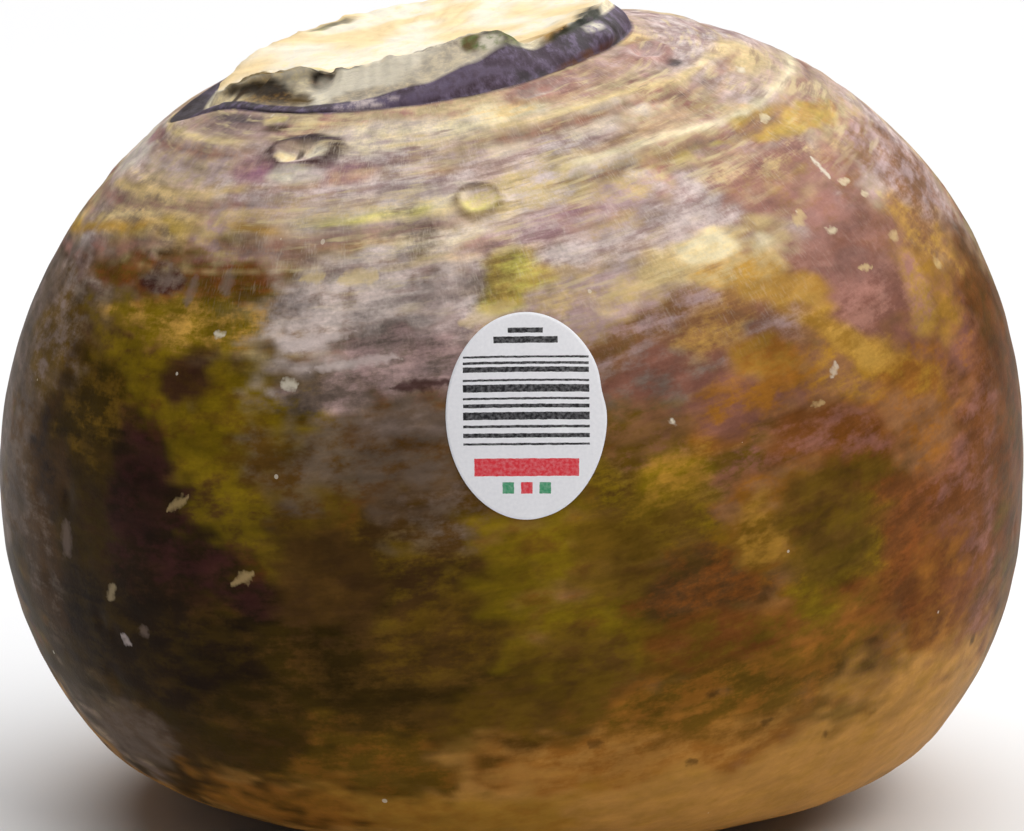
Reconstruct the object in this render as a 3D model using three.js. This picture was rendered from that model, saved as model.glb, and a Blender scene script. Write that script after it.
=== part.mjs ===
// A rutabaga as it is sold: one swollen root, with its leafy crown cut off and its tap root trimmed
// flat, and an oval produce sticker on its front.
//
// Millimetres. +Z is up, the root stands on z = 0 on its trimmed spot, and the sticker faces -Y.
// The crown leans towards -X and a little towards -Y.
//
// The root is a stack of closed rows of points, strung round the crown axis from the middle of the
// crown cut down to the middle of the base. A point on it has two angles. The polar angle is measured
// at the body's centre from the crown axis. The azimuth goes round that axis: 0 faces -Y, 90 faces +X.

import * as THREE from 'three';

// ---- Driving dimensions ---------------------------------------------------------------------------

const HALF_WIDTH = 75;         // from the body's centre to its widest point, along X
const HALF_DEPTH = 73;         // and along Y
const WAIST_HEIGHT = 50.4;     // the widest section stands this far above the ground
const CROWN_RISE = 68;         // the upper half of the globe, from the waist to its top
const SHOULDER_POWER = 2.1;    // squareness of the upper half, where 2 is an ellipse
const BELLY_DROP = 60.5;       // the lower half of the globe, before it is flattened
const BELLY_POWER = 2.36;
const SHOULDER_SET = 0.022;    // the shoulder stands out on the +X side and in on the -X side
const LUMP_HEIGHT = 0.5;       // slow undulations of the skin

const LEAN_SIDE = 11.5;        // degrees that the crown axis leans to -X
const LEAN_FRONT = 9;          // degrees that it leans to -Y
const UPRIGHT_FROM = 40;       // polar angle where the rows start to turn level

const SINK_DEPTH = 3.6;        // the globe dips round its crown
const SINK_SPREAD = 24;        // degrees

const DOME_RADIUS = 260;       // the underside settles into a shallow dome
const DOME_EASE = 7;           // rounding between the belly and the dome
const ROOT_TRIM = 0.5;         // height of dome that the tap root's cut takes off, leaving a flat spot

const NECK_RADIUS = 29.3;      // where the neck stands on the globe
const FACE_CENTRE = 64.5;      // middle of the cut face, from the body's centre along the crown axis
const FACE_DISH = 3;           // power of the dish: the middle dries flat and the lip stands proud
const COLLAR_BULGE = 0.5;      // the skin of the neck swells between its foot and the knife cut
const RELIEF_START = 3;        // distance from the neck over which ridges and scars come up

const STICKER_WIDTH = 21;
const STICKER_HEIGHT = 27.4;
const STICKER_THICKNESS = 0.3;
const STICKER_GAP = 0.3;       // clear of the skin
const STICKER_AZIMUTH = 2;     // degrees round from -Y to +X
const STICKER_CENTRE_Z = 69.4; // height of its middle above the ground
const STICKER_POLAR = Math.PI / 2; // far enough from the crown for the dip round it to be nothing

// Rows and segments of the meshes.
const SEGMENTS = 80;
const FACE_ROWS = 6;
const BEVEL_ROWS = 2;
const COLLAR_ROWS = 2;
const SHOULDER_ROWS = 19;
const BODY_ROWS = 31;
const SHOULDER_END = 58;       // polar angle where the fine shoulder rows give way to the body's
const FOOT_PASSES = 8;         // enough to settle the neck's foot to a micrometre
const STICKER_SEGMENTS = 40;
const STICKER_RINGS = 4;

// The trimmed neck, round the crown axis. Each row gives the azimuth, the radius and rise of the cut
// face's lip, and the radius and rise of the lower edge of the knife bevel, where the purple collar
// begins. The rises are above the neck's foot.
const NECK_PROFILE = [
  { azimuth: -115, lip: 27.0, lipRise: 2.6, bevel: 28.4, collar: 1.2 },
  { azimuth: -83, lip: 26.0, lipRise: 2.9, bevel: 28.4, collar: 0.9 },
  { azimuth: -60, lip: 25.0, lipRise: 4.2, bevel: 28.2, collar: 0.7 },
  { azimuth: -40, lip: 24.0, lipRise: 4.8, bevel: 28.0, collar: 0.6 },
  { azimuth: -20, lip: 24.0, lipRise: 4.8, bevel: 27.6, collar: 1.0 },
  { azimuth: 0, lip: 24.4, lipRise: 6.1, bevel: 27.0, collar: 2.3 },
  { azimuth: 16, lip: 24.4, lipRise: 7.4, bevel: 26.4, collar: 4.0 },
  { azimuth: 28, lip: 24.6, lipRise: 6.7, bevel: 25.6, collar: 5.2 },
  { azimuth: 38, lip: 25.6, lipRise: 4.0, bevel: 26.3, collar: 3.4 },
  { azimuth: 52, lip: 26.0, lipRise: 4.5, bevel: 26.6, collar: 3.9 },
  { azimuth: 75, lip: 26.2, lipRise: 4.8, bevel: 26.9, collar: 3.9 },
  { azimuth: 110, lip: 26.8, lipRise: 4.0, bevel: 27.8, collar: 2.6 },
  { azimuth: 150, lip: 27.4, lipRise: 3.2, bevel: 28.4, collar: 1.8 },
  { azimuth: 195, lip: 27.6, lipRise: 2.8, bevel: 28.6, collar: 1.4 },
];

// Growth ridges: the leaf bases' old lines, each an arc round the crown. `ring` is its distance from
// the crown axis at `from`, and `drift` is how far it has moved out by `to`.
const RIDGES = [
  { ring: 37.4, from: 4, to: 92, drift: 5.0, height: 0.7 },
  { ring: 46.2, from: 12, to: 112, drift: 6.0, height: 0.9 },
  { ring: 49.8, from: -30, to: 12, drift: -1.6, height: 0.6 },
  { ring: 57.5, from: -100, to: -42, drift: -9.4, height: 0.9 },
  { ring: 47.8, from: -46, to: -14, drift: 3.8, height: 0.8 },
  { ring: 48.0, from: -92, to: -24, drift: -4.6, height: 0.6 },
  { ring: 39.0, from: -110, to: -34, drift: -3.0, height: 0.6 },
  { ring: 40.5, from: 100, to: 205, drift: -3.5, height: 0.7 },
  { ring: 48.5, from: 128, to: 236, drift: 4.0, height: 0.8 },
  { ring: 57.0, from: 96, to: 190, drift: -3.0, height: 0.6 },
  { ring: 38.5, from: 196, to: 262, drift: 2.5, height: 0.6 },
];
const RIDGE_INNER = 2.4;       // a ridge climbs slowly from the crown side
const RIDGE_OUTER = 1.1;       // and drops off quickly on the other
const RIDGE_FADE = 14;         // degrees over which an arc dies out at its ends

// Leaf scars: oval eyes with a raised rim round a dimple. The two widths are shares of the oval's own.
const RIM_WIDTH = 0.35;
const DIMPLE_WIDTH = 0.7;
const LEAF_SCARS = [
  { azimuth: -25, ring: 36.5, length: 11.0, width: 6.0, rim: 0.8, dimple: 0.7 },
  { azimuth: 7, ring: 48.1, length: 6.6, width: 4.4, rim: 0.7, dimple: 0.4 },
  { azimuth: 66, ring: 34.0, length: 8.0, width: 4.6, rim: 0.7, dimple: 0.3 },
  { azimuth: 30, ring: 32.4, length: 8.0, width: 4.0, rim: 0.5, dimple: 0.2 },
  { azimuth: 128, ring: 43.5, length: 9.0, width: 5.0, rim: 0.8, dimple: 0.5 },
  { azimuth: 186, ring: 36.0, length: 10.0, width: 5.2, rim: 0.8, dimple: 0.6 },
  { azimuth: 232, ring: 45.0, length: 7.0, width: 4.4, rim: 0.7, dimple: 0.4 },
];

// ---- Small helpers --------------------------------------------------------------------------------

const radians = THREE.MathUtils.degToRad;
const clamp01 = (t) => Math.min(Math.max(t, 0), 1);
const mix = (a, b, t) => a + (b - a) * t;
const ease = (t) => clamp01(t) ** 2 * (3 - 2 * clamp01(t));

// The smaller of two lengths, rounded over `blend` where they cross.
function roundedMin(a, b, blend) {
  const t = clamp01(0.5 + 0.5 * (b - a) / blend);
  return mix(b, a, t) - blend * t * (1 - t);
}

// Degrees from one azimuth on to another, between -180 and 180.
function turn(from, to) {
  return ((to - from + 540) % 360 + 360) % 360 - 180;
}

// Leans a vector towards -X by `side` and then towards -Y by `front`.
function lean(vector, side, front) {
  return vector.applyAxisAngle(new THREE.Vector3(0, -1, 0), side)
    .applyAxisAngle(new THREE.Vector3(1, 0, 0), front);
}

// ---- Shape of the root ----------------------------------------------------------------------------

// Direction from the body's centre. The rows lean with the crown at the top and lie level at the base.
function direction(polar, azimuth) {
  const hold = 1 - ease((polar - radians(UPRIGHT_FROM)) / (Math.PI - radians(UPRIGHT_FROM)));
  const out = new THREE.Vector3(
    Math.sin(polar) * Math.sin(azimuth), -Math.sin(polar) * Math.cos(azimuth), Math.cos(polar));
  return lean(out, radians(LEAN_SIDE) * hold, radians(LEAN_FRONT) * hold);
}

// Slow undulations, from -1 to 1 or so.
function undulation({ x, y, z }) {
  return Math.sin(4.1 * x + 1.3 * y + 0.5) * Math.sin(3.7 * z - 2.2 * y + 1.0)
    + 0.5 * Math.sin(7.3 * x - 5.1 * z + 2.0) * Math.sin(6.1 * y + 4.0 * x);
}

// Distance from the body's centre to the smooth globe.
function globeRadius(out, polar) {
  const upper = out.z > 0;
  const power = upper ? SHOULDER_POWER : BELLY_POWER;
  const rise = upper ? CROWN_RISE : BELLY_DROP;
  const level = Math.hypot(out.x / HALF_WIDTH, out.y / HALF_DEPTH);
  const plain = (level ** power + (Math.abs(out.z) / rise) ** power) ** (-1 / power);
  const set = 1 + SHOULDER_SET * out.x * Math.max(out.z, 0);
  const sink = SINK_DEPTH * Math.exp(-((polar / radians(SINK_SPREAD)) ** 2));
  return plain * set - sink + LUMP_HEIGHT * undulation(out);
}

// The belly settles into a shallow dome, and the tap root's cut takes the middle of that off flat.
function settleOnBase(radius, out) {
  const domeCentre = DOME_RADIUS - WAIST_HEIGHT - ROOT_TRIM;
  const along = out.z * domeCentre;
  const dome = along + Math.sqrt(along ** 2 - domeCentre ** 2 + DOME_RADIUS ** 2);
  const settled = roundedMin(radius, dome, DOME_EASE);
  return out.z < 0 ? Math.min(settled, WAIST_HEIGHT / -out.z) : settled;
}

// Height of the growth ridges at a distance from the crown axis.
function ridgeHeight(ring, azimuth) {
  let height = 0;
  for (const ridge of RIDGES) {
    const span = ridge.to - ridge.from;
    const along = turn((ridge.from + ridge.to) / 2, azimuth) + span / 2;
    const off = ring - ridge.ring - ridge.drift * clamp01(along / span);
    const across = Math.exp(-((off / (off < 0 ? RIDGE_INNER : RIDGE_OUTER)) ** 2));
    const ends = ease(along / RIDGE_FADE) * ease((span - along) / RIDGE_FADE);
    height = Math.max(height, ridge.height * across * ends);
  }
  return height;
}

// Height of the leaf scars: a rim at the edge of each oval and a dimple inside it.
function scarHeight(ring, azimuth) {
  let height = 0;
  for (const scar of LEAF_SCARS) {
    const along = radians(turn(scar.azimuth, azimuth)) * scar.ring / (scar.length / 2);
    const across = (ring - scar.ring) / (scar.width / 2);
    const reach = Math.hypot(along, across);
    height += scar.rim * Math.exp(-(((reach - 1) / RIM_WIDTH) ** 2));
    height -= scar.dimple * Math.exp(-((reach / DIMPLE_WIDTH) ** 2));
  }
  return height;
}

// A point on the globe's skin, about the body's centre.
function skinPoint(polar, azimuthDegrees) {
  const out = direction(polar, radians(azimuthDegrees));
  const globe = globeRadius(out, polar);
  const ring = globe * Math.sin(polar);
  let relief = 0;
  if (polar < Math.PI / 2) {
    relief = ridgeHeight(ring, azimuthDegrees) + scarHeight(ring, azimuthDegrees);
  }
  const fromNeck = ease((ring - NECK_RADIUS) / RELIEF_START);
  return out.multiplyScalar(settleOnBase(globe + relief * fromNeck, out));
}

// The neck's profile at an azimuth, eased between its rows.
function neckProfile(azimuth) {
  const count = NECK_PROFILE.length;
  for (let i = 0; i < count; i += 1) {
    const here = NECK_PROFILE[i];
    const next = NECK_PROFILE[(i + 1) % count];
    const span = (next.azimuth - here.azimuth + 360) % 360;
    const along = (azimuth - here.azimuth + 720) % 360;
    if (along <= span) {
      const blend = (key) => mix(here[key], next[key], ease(along / span));
      return {
        lip: blend('lip'), lipRise: blend('lipRise'), bevel: blend('bevel'), collar: blend('collar'),
      };
    }
  }
  return NECK_PROFILE[0];
}

// A point given by its distance from the crown axis and its height along it.
function crownPoint(ring, height, azimuthDegrees) {
  const azimuth = radians(azimuthDegrees);
  const point = new THREE.Vector3(ring * Math.sin(azimuth), -ring * Math.cos(azimuth), height);
  return lean(point, radians(LEAN_SIDE), radians(LEAN_FRONT));
}

// Polar angle where the neck meets the globe, found by closing in on the neck's radius.
function neckFootAngle(azimuthDegrees) {
  let polar = 0;
  for (let i = 0; i < FOOT_PASSES; i += 1) {
    const globe = globeRadius(direction(polar, radians(azimuthDegrees)), polar);
    polar = Math.asin(NECK_RADIUS / globe);
  }
  return polar;
}

// All points of one meridian, from the lip's inner side down to the last row above the base's middle.
function meridian(azimuthDegrees) {
  const points = [];
  const neck = neckProfile(azimuthDegrees);
  const footAngle = neckFootAngle(azimuthDegrees);
  const footHeight = NECK_RADIUS / Math.tan(footAngle);
  const lipHeight = footHeight + neck.lipRise;
  const collarHeight = footHeight + neck.collar;
  for (let i = 1; i <= FACE_ROWS; i += 1) {
    const t = i / FACE_ROWS;
    const height = mix(FACE_CENTRE, lipHeight, t ** FACE_DISH);
    points.push(crownPoint(neck.lip * t, height, azimuthDegrees));
  }
  for (let i = 1; i <= BEVEL_ROWS; i += 1) {
    const t = i / BEVEL_ROWS;
    points.push(crownPoint(mix(neck.lip, neck.bevel, t), mix(lipHeight, collarHeight, t), azimuthDegrees));
  }
  for (let i = 1; i <= COLLAR_ROWS; i += 1) {
    const t = i / COLLAR_ROWS;
    const ring = mix(neck.bevel, NECK_RADIUS, t) + COLLAR_BULGE * Math.sin(Math.PI * t);
    points.push(crownPoint(ring, mix(collarHeight, footHeight, t), azimuthDegrees));
  }
  for (let i = 1; i <= SHOULDER_ROWS; i += 1) {
    points.push(skinPoint(mix(footAngle, radians(SHOULDER_END), i / SHOULDER_ROWS), azimuthDegrees));
  }
  for (let i = 1; i < BODY_ROWS; i += 1) {
    points.push(skinPoint(mix(radians(SHOULDER_END), Math.PI, i / BODY_ROWS), azimuthDegrees));
  }
  return points;
}

// ---- Meshes ---------------------------------------------------------------------------------------

// Closes a stack of rings into one skin. `first` and `last` are the single points at its two ends.
function closedSkin(rings, first, last) {
  const around = rings[0].length;
  const points = [first, ...rings.flat(), last];
  const at = (row, i) => 1 + row * around + (i % around);
  const triangles = [];
  for (let i = 0; i < around; i += 1) {
    triangles.push(0, at(0, i), at(0, i + 1));
    for (let row = 0; row + 1 < rings.length; row += 1) {
      triangles.push(at(row, i), at(row + 1, i), at(row + 1, i + 1));
      triangles.push(at(row, i), at(row + 1, i + 1), at(row, i + 1));
    }
    triangles.push(at(rings.length - 1, i), points.length - 1, at(rings.length - 1, i + 1));
  }
  const geometry = new THREE.BufferGeometry().setFromPoints(points);
  geometry.setIndex(triangles);
  geometry.computeVertexNormals();
  return geometry;
}

function makeRoot() {
  const meridians = [];
  for (let i = 0; i < SEGMENTS; i += 1) {
    meridians.push(meridian(i * 360 / SEGMENTS));
  }
  const rings = meridians[0].map((_, row) => meridians.map((line) => line[row]));
  const geometry = closedSkin(rings, crownPoint(0, FACE_CENTRE, 0), skinPoint(Math.PI, 0));
  const material = new THREE.MeshStandardMaterial({ color: '#74522c', roughness: 0.45, metalness: 0 });
  const mesh = new THREE.Mesh(geometry, material);
  mesh.name = 'rutabaga_root';
  return mesh;
}

// The sticker is a flat oval laid on the skin from the front: each of its points is carried in along
// the line to the body's centre, to a set distance off the skin.
function makeSticker() {
  const azimuth = radians(STICKER_AZIMUTH);
  const rise = STICKER_CENTRE_Z - WAIST_HEIGHT;
  const level = (1 - (rise / CROWN_RISE) ** SHOULDER_POWER) ** (1 / SHOULDER_POWER);
  const reachOut = HALF_DEPTH * level;
  const middle = new THREE.Vector3(reachOut * Math.sin(azimuth), -reachOut * Math.cos(azimuth), rise);
  const across = new THREE.Vector3(Math.cos(azimuth), Math.sin(azimuth), 0);
  const up = middle.clone().normalize().cross(across).normalize();
  const place = (reach, angle, off) => {
    const out = middle.clone()
      .addScaledVector(across, reach * STICKER_WIDTH / 2 * Math.cos(angle))
      .addScaledVector(up, reach * STICKER_HEIGHT / 2 * Math.sin(angle))
      .normalize();
    return out.multiplyScalar(globeRadius(out, STICKER_POLAR) + off);
  };
  const ring = (reach, off) => Array.from({ length: STICKER_SEGMENTS },
    (_, i) => place(reach, i * 2 * Math.PI / STICKER_SEGMENTS, off));
  const outer = STICKER_GAP + STICKER_THICKNESS;
  const rings = [];
  for (let i = 1; i <= STICKER_RINGS; i += 1) {
    rings.push(ring(i / STICKER_RINGS, outer));
  }
  for (let i = STICKER_RINGS; i >= 1; i -= 1) {
    rings.push(ring(i / STICKER_RINGS, STICKER_GAP));
  }
  const geometry = closedSkin(rings, place(0, 0, outer), place(0, 0, STICKER_GAP));
  const material = new THREE.MeshStandardMaterial({ color: '#e4e5e8', roughness: 0.45, metalness: 0 });
  const mesh = new THREE.Mesh(geometry, material);
  mesh.name = 'produce_sticker';
  return mesh;
}

// ---- The whole thing ------------------------------------------------------------------------------

const rutabaga = new THREE.Group();
rutabaga.add(makeRoot(), makeSticker());

// Stands on z = 0, with the middle of its footprint on the origin.
const footprint = new THREE.Box3().setFromObject(rutabaga).getCenter(new THREE.Vector3());
rutabaga.position.set(-footprint.x, -footprint.y, WAIST_HEIGHT);

export default rutabaga;
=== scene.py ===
"""A rutabaga: one waxed root with its leafy crown cut off, and an oval produce sticker on its front.

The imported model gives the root's place and size. Its skin is built again here, finer, from the same
formulas, and turned to metres at the end. Until then lengths are in mm and angles in degrees, unless a
comment says otherwise. A point of the root has a polar angle, from the crown axis at the body's centre,
and an azimuth round that axis: 0 faces -Y and 90 faces +X. Its ring is its distance from that axis.
"""

import math

import bpy
import numpy as np
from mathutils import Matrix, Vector, noise
from mathutils.bvhtree import BVHTree


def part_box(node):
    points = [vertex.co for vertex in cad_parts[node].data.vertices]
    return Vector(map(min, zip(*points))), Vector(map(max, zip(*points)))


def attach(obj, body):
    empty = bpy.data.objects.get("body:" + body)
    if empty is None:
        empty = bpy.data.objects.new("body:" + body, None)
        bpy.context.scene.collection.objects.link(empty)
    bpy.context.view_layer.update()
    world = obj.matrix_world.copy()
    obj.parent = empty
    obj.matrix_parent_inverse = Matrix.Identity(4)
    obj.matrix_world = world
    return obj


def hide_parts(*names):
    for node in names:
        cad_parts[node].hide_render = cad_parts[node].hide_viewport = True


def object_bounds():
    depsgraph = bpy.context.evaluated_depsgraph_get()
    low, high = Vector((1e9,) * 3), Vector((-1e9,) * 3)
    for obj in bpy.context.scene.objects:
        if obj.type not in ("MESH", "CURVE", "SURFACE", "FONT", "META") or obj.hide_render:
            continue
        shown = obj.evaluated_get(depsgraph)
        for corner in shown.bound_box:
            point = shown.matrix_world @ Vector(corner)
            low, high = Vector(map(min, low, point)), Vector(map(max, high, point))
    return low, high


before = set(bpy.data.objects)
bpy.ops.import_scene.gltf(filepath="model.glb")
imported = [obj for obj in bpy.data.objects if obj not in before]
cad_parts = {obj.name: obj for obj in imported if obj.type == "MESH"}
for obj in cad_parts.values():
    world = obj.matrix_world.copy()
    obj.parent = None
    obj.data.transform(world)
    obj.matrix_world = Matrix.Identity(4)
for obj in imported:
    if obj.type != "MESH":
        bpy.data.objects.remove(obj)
cad_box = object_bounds()

MM = 0.001

# ---- Shape of the root ------------------------------------------------------------------------------
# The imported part's own numbers, but two leaf scars at the front are smaller here.

HALF_WIDTH = 75.0
HALF_DEPTH = 73.0
WAIST_HEIGHT = 50.4       # the body's centre stands this far above the ground
CROWN_RISE = 68.0
SHOULDER_POWER = 2.1      # above 2 an oval grows squarer
BELLY_DROP = 60.5
BELLY_POWER = 2.36
SHOULDER_SET = 0.022      # the right shoulder stands out by this share
LUMP_HEIGHT = 0.5

LEAN_SIDE = 11.5          # the crown leans to the left and to the front
LEAN_FRONT = 9.0
UPRIGHT_FROM = 40.0       # from this polar angle down the rows grow level

SINK_DEPTH = 3.6          # the globe is sunk round the crown
SINK_SPREAD = 24.0

DOME_RADIUS = 260.0       # the underside
DOME_EASE = 7.0
ROOT_TRIM = 0.5           # the flat that the tap root's cut leaves is this deep in the dome

NECK_RADIUS = 29.3
FACE_CENTRE = 64.5        # height of the cut face's middle along the crown axis
FACE_DISH = 3
COLLAR_BULGE = 0.5
RELIEF_START = 3.0        # ridges and scars grow in over this much of the skin below the neck

# The trimmed neck: azimuth, radius and rise of the cut face's lip, radius and rise of the bevel's foot.
NECK_PROFILE = [
    (-115, 27, 2.6, 28.4, 1.2),
    (-83, 26, 2.9, 28.4, 0.9),
    (-60, 25, 4.2, 28.2, 0.7),
    (-40, 24, 4.8, 28, 0.6),
    (-20, 24, 4.8, 27.6, 1),
    (0, 24.4, 6.1, 27, 2.3),
    (16, 24.4, 7.4, 26.4, 4),
    (28, 24.6, 6.7, 25.6, 5.2),
    (38, 25.6, 4, 26.3, 3.4),
    (52, 26, 4.5, 26.6, 3.9),
    (75, 26.2, 4.8, 26.9, 3.9),
    (110, 26.8, 4, 27.8, 2.6),
    (150, 27.4, 3.2, 28.4, 1.8),
    (195, 27.6, 2.8, 28.6, 1.4),
]

# Growth ridges: ring at the start, azimuths of both ends, drift of the ring, height, and the colour of
# the crest.
RIDGES = [
    (37.4, 4, 92, 5, 0.7, "straw"),
    (46.2, 12, 112, 6, 0.9, "cream"),
    (49.8, -30, 12, -1.6, 0.6, "primrose"),
    (57.5, -100, -42, -9.4, 0.9, "mustard"),
    (47.8, -46, -14, 3.8, 0.8, "mustard"),
    (48, -92, -24, -4.6, 0.6, "honey"),
    (39, -110, -34, -3, 0.6, "straw"),
    (40.5, 100, 205, -3.5, 0.7, "straw"),
    (48.5, 128, 236, 4, 0.8, "honey"),
    (57, 96, 190, -3, 0.6, "mustard"),
    (38.5, 196, 262, 2.5, 0.6, "straw"),
]

# Leaf scars: azimuth, ring, length, width, height of the rim, depth of the dimple.
LEAF_SCARS = [
    (-27, 37.6, 9, 4.6, 0.7, 0.6),
    (7, 48.1, 5, 3.2, 0.45, 0.3),
    (66, 34, 8, 4.6, 0.7, 0.3),
    (30, 32.4, 8, 4, 0.5, 0.2),
    (128, 43.5, 8, 4, 0.5, 0.4),
    (186, 36, 9, 4.2, 0.5, 0.5),
    (232, 45, 6, 3.4, 0.45, 0.3),
]
RIM_WIDTH = 0.35          # shares of the scar's size
DIMPLE_WIDTH = 0.7
RIDGE_INNER = 2.4         # a crest falls off slowly towards the crown and steeply away from it
RIDGE_OUTER = 1.1
RIDGE_HEIGHT = 0.8        # share of the height that is left on the fine skin
RIDGE_WORN = (94.0, 20.0, 0.8)  # azimuth of the flanks, half width and share by which ridges are worn
LINE_FADE = 14.0          # degrees over which ridges and lines fade out at their ends
STRAY_SIZE = 3.2          # lumps of the noise by which ridges and scars stray from their plain outline
RIDGE_STRAY = 0.36
SCAR_STRAY = 0.27         # share of the scar's own size

# ---- The knife's work on the crown --------------------------------------------------------------------

# Noise is given by its layers: the depth of each, the size of its lumps and its seed.
LIP_RADIUS = 25.0
LIP_RAG = [(0.55, 3.4, 3), (0.33, 1.3, 4)]   # the lip wanders in and out
LIP_WAVE = [(0.45, 4.5, 5), (0.25, 1.6, 6)]  # and up and down
OVERHANG = (-58, 24, 1.9)   # azimuth, half width and depth of the hollow under the lip
CLEFT = (-66, 2.2, 1.3)     # a split down the bevel
LIP_HOLE = (-34, 5.5, 1.5)  # a rotted hole in the lip
KNOB = (63, 5.0, 1.3)       # a nub of old leaf base on the collar
TIP = (-93, 17)             # azimuth and half width of the tail that the cut leaves at the left
TIP_REACH = (4.8, 4.2, 9.0)  # mm that it carries out the lip, the bevel's foot and the collar's foot

# ---- Fine relief --------------------------------------------------------------------------------------

# Zone, height and size of its lumps, how flat they are (less draws them out up and down), noise seed.
LUMPS = [
    ("skin", 0.16, 9.0, 1.0, 51),
    ("skin", 0.07, 3.2, 1.0, 52),
    ("face", 0.35, 3.0, 1.0, 54),
    ("face", 0.18, 1.2, 1.0, 55),
    ("bevel", 0.22, 1.6, 0.3, 56),
    ("collar", 0.10, 2.4, 1.0, 57),
]
FACE_MIDDLE = 4.0         # the fibres of the cut face level out within this much of its middle
RINGLET_HEIGHT = 0.2      # fine rings on the shoulder
RINGLET_WIDTH = 1.7
RINGLET_LENGTH = 34.0     # degrees
RINGLET_END = (66.0, 14.0)  # ring where they have gone, and how much before that they start to
PIT_COUNT = 150
PIT_SEED = 11
PIT_MARGIN = 6            # rows at the skin's two ends without pits
PIT_DEPTH = (0.1, 0.35)
PIT_RADIUS = (0.9, 1.8)
BASE_SMOOTH = 4.0         # the relief is gone this near the ground, so that the root sits flat

# ---- Rows of the fine skin --------------------------------------------------------------------------

SEGMENTS = 480
FRONT_CROWDING = 22.0     # degrees that the columns are drawn in towards the front, where most marks are
FACE_ROWS = 20
BEVEL_ROWS = 9
COLLAR_ROWS = 9
SHOULDER_ROWS = 60
BODY_ROWS = 86
BASE_ROWS = 22
SHOULDER_END = 58.0       # polar angles
BODY_END = 132.0
FOOT_PASSES = 8

# ---- The sticker ------------------------------------------------------------------------------------

STICKER_WIDTH = 21.0
STICKER_HEIGHT = 27.4
STICKER_AZIMUTH = 2.0
FILM_THICKNESS = 0.10
FILM_OFF = 0.05           # adhesive under the film
FILM_ASIDE = 1.0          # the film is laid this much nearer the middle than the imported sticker
EDGE_LIFT = 0.12          # the rim has let go a little
RIM_FROM = 0.8            # the rim is what lies past this share of the way out
FILM_SEGMENTS = 160
FILM_RINGS = 30
NICK = (14, 9, 0.035)     # angle, half width in degrees and depth of the kink in the film's right edge

# The print: plain shapes that name nothing. Each block is its middle, across and up from the sticker's
# middle, its width and height, and its ink.
INKS = {"red": "#d8303c", "green": "#3c9468", "black": "#18181c"}
PRINT_BLOCKS = [
    (0.0, 11.2, 4.6, 0.7, "black"),
    (0.0, 9.9, 8.4, 0.9, "black"),
    (0.0, -6.8, 13.6, 2.3, "red"),
    (-2.4, -9.5, 1.5, 1.5, "green"),
    (0.0, -9.5, 1.5, 1.5, "red"),
    (2.4, -9.5, 1.5, 1.5, "green"),
]
# Bars across the upper half: the height of each bar's foot above the sticker's middle and its thickness.
BARS = [(7.4, 0.3), (6.6, 0.3), (5.5, 0.7), (4.3, 0.3), (2.9, 1.0), (1.9, 0.3), (0.9, 0.5), (-0.7, 1.0),
        (-1.7, 0.3), (-3.0, 0.6), (-4.0, 0.3)]
BAR_EDGE = 8.2            # the bars stop this far from the middle line
PRINT_HALF = 9.0          # the ramp that holds the bars reaches this far up and down
INK_SPREAD = 0.16         # the ink has crept this far along the film's grain

# ---- The view ---------------------------------------------------------------------------------------

LENS = 153                # mm on a 36 mm frame
CAMERA_ELEVATION = 10
CAMERA_DISTANCE = 4.27    # widths of the root
AIM_HEIGHT = 0.4785       # share of the root's height
RAY_START = 0.2           # metres out, where the film sets off for the skin
NO_PRINT = 30             # a height past all of the print, for the film's back

# ---- Pigments of the skin and the flesh, as sRGB ------------------------------------------------------

PIGMENTS = {
    "soot": "#22150a",
    "plum": "#381c1a",
    "slate": "#4a4248",
    "pine": "#342606",
    "umber": "#432d14",
    "peat": "#513816",
    "bark": "#624912",
    "maroon": "#6c3e18",
    "rust": "#844a20",
    "russet": "#905c20",
    "ochre": "#a0762a",
    "mustard": "#b88e42",
    "honey": "#d0b47e",
    "gold": "#c4a44c",
    "clay": "#8c6240",
    "mulberry": "#82564a",
    "tan": "#b48342",
    "straw": "#dcc48c",
    "primrose": "#ded27c",
    "cream": "#ecdfba",
    "lime": "#c2b848",
    "moss": "#7a6410",
    "olive": "#604a12",
    "dove": "#7c6a60",
    "loam": "#66564a",
    "mauve": "#aa8f8c",
    "lilac": "#cfbfba",
    "rose": "#a27468",
    "flesh": "#f6edd8",
    "amber": "#f3d7a2",
    "moor": "#22281c",
    "fern": "#4c6428",
    "bone": "#e8e0cc",
    "sand": "#cab48c",
    "damson": "#4d3e4a",
    # pale lavender that paints the sheen on the purple collar
    "lavender_sheen": "#74677f",
    "orchid": "#9a6c80",
}

# ---- Marks ------------------------------------------------------------------------------------------
# Each patch of skin has a ground colour and a fleck colour that breaks through it. Azimuth in degrees,
# height above the ground, half width, half height, tilt up to the right, ground, fleck, and the share
# of the patch that the fleck takes.

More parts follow.
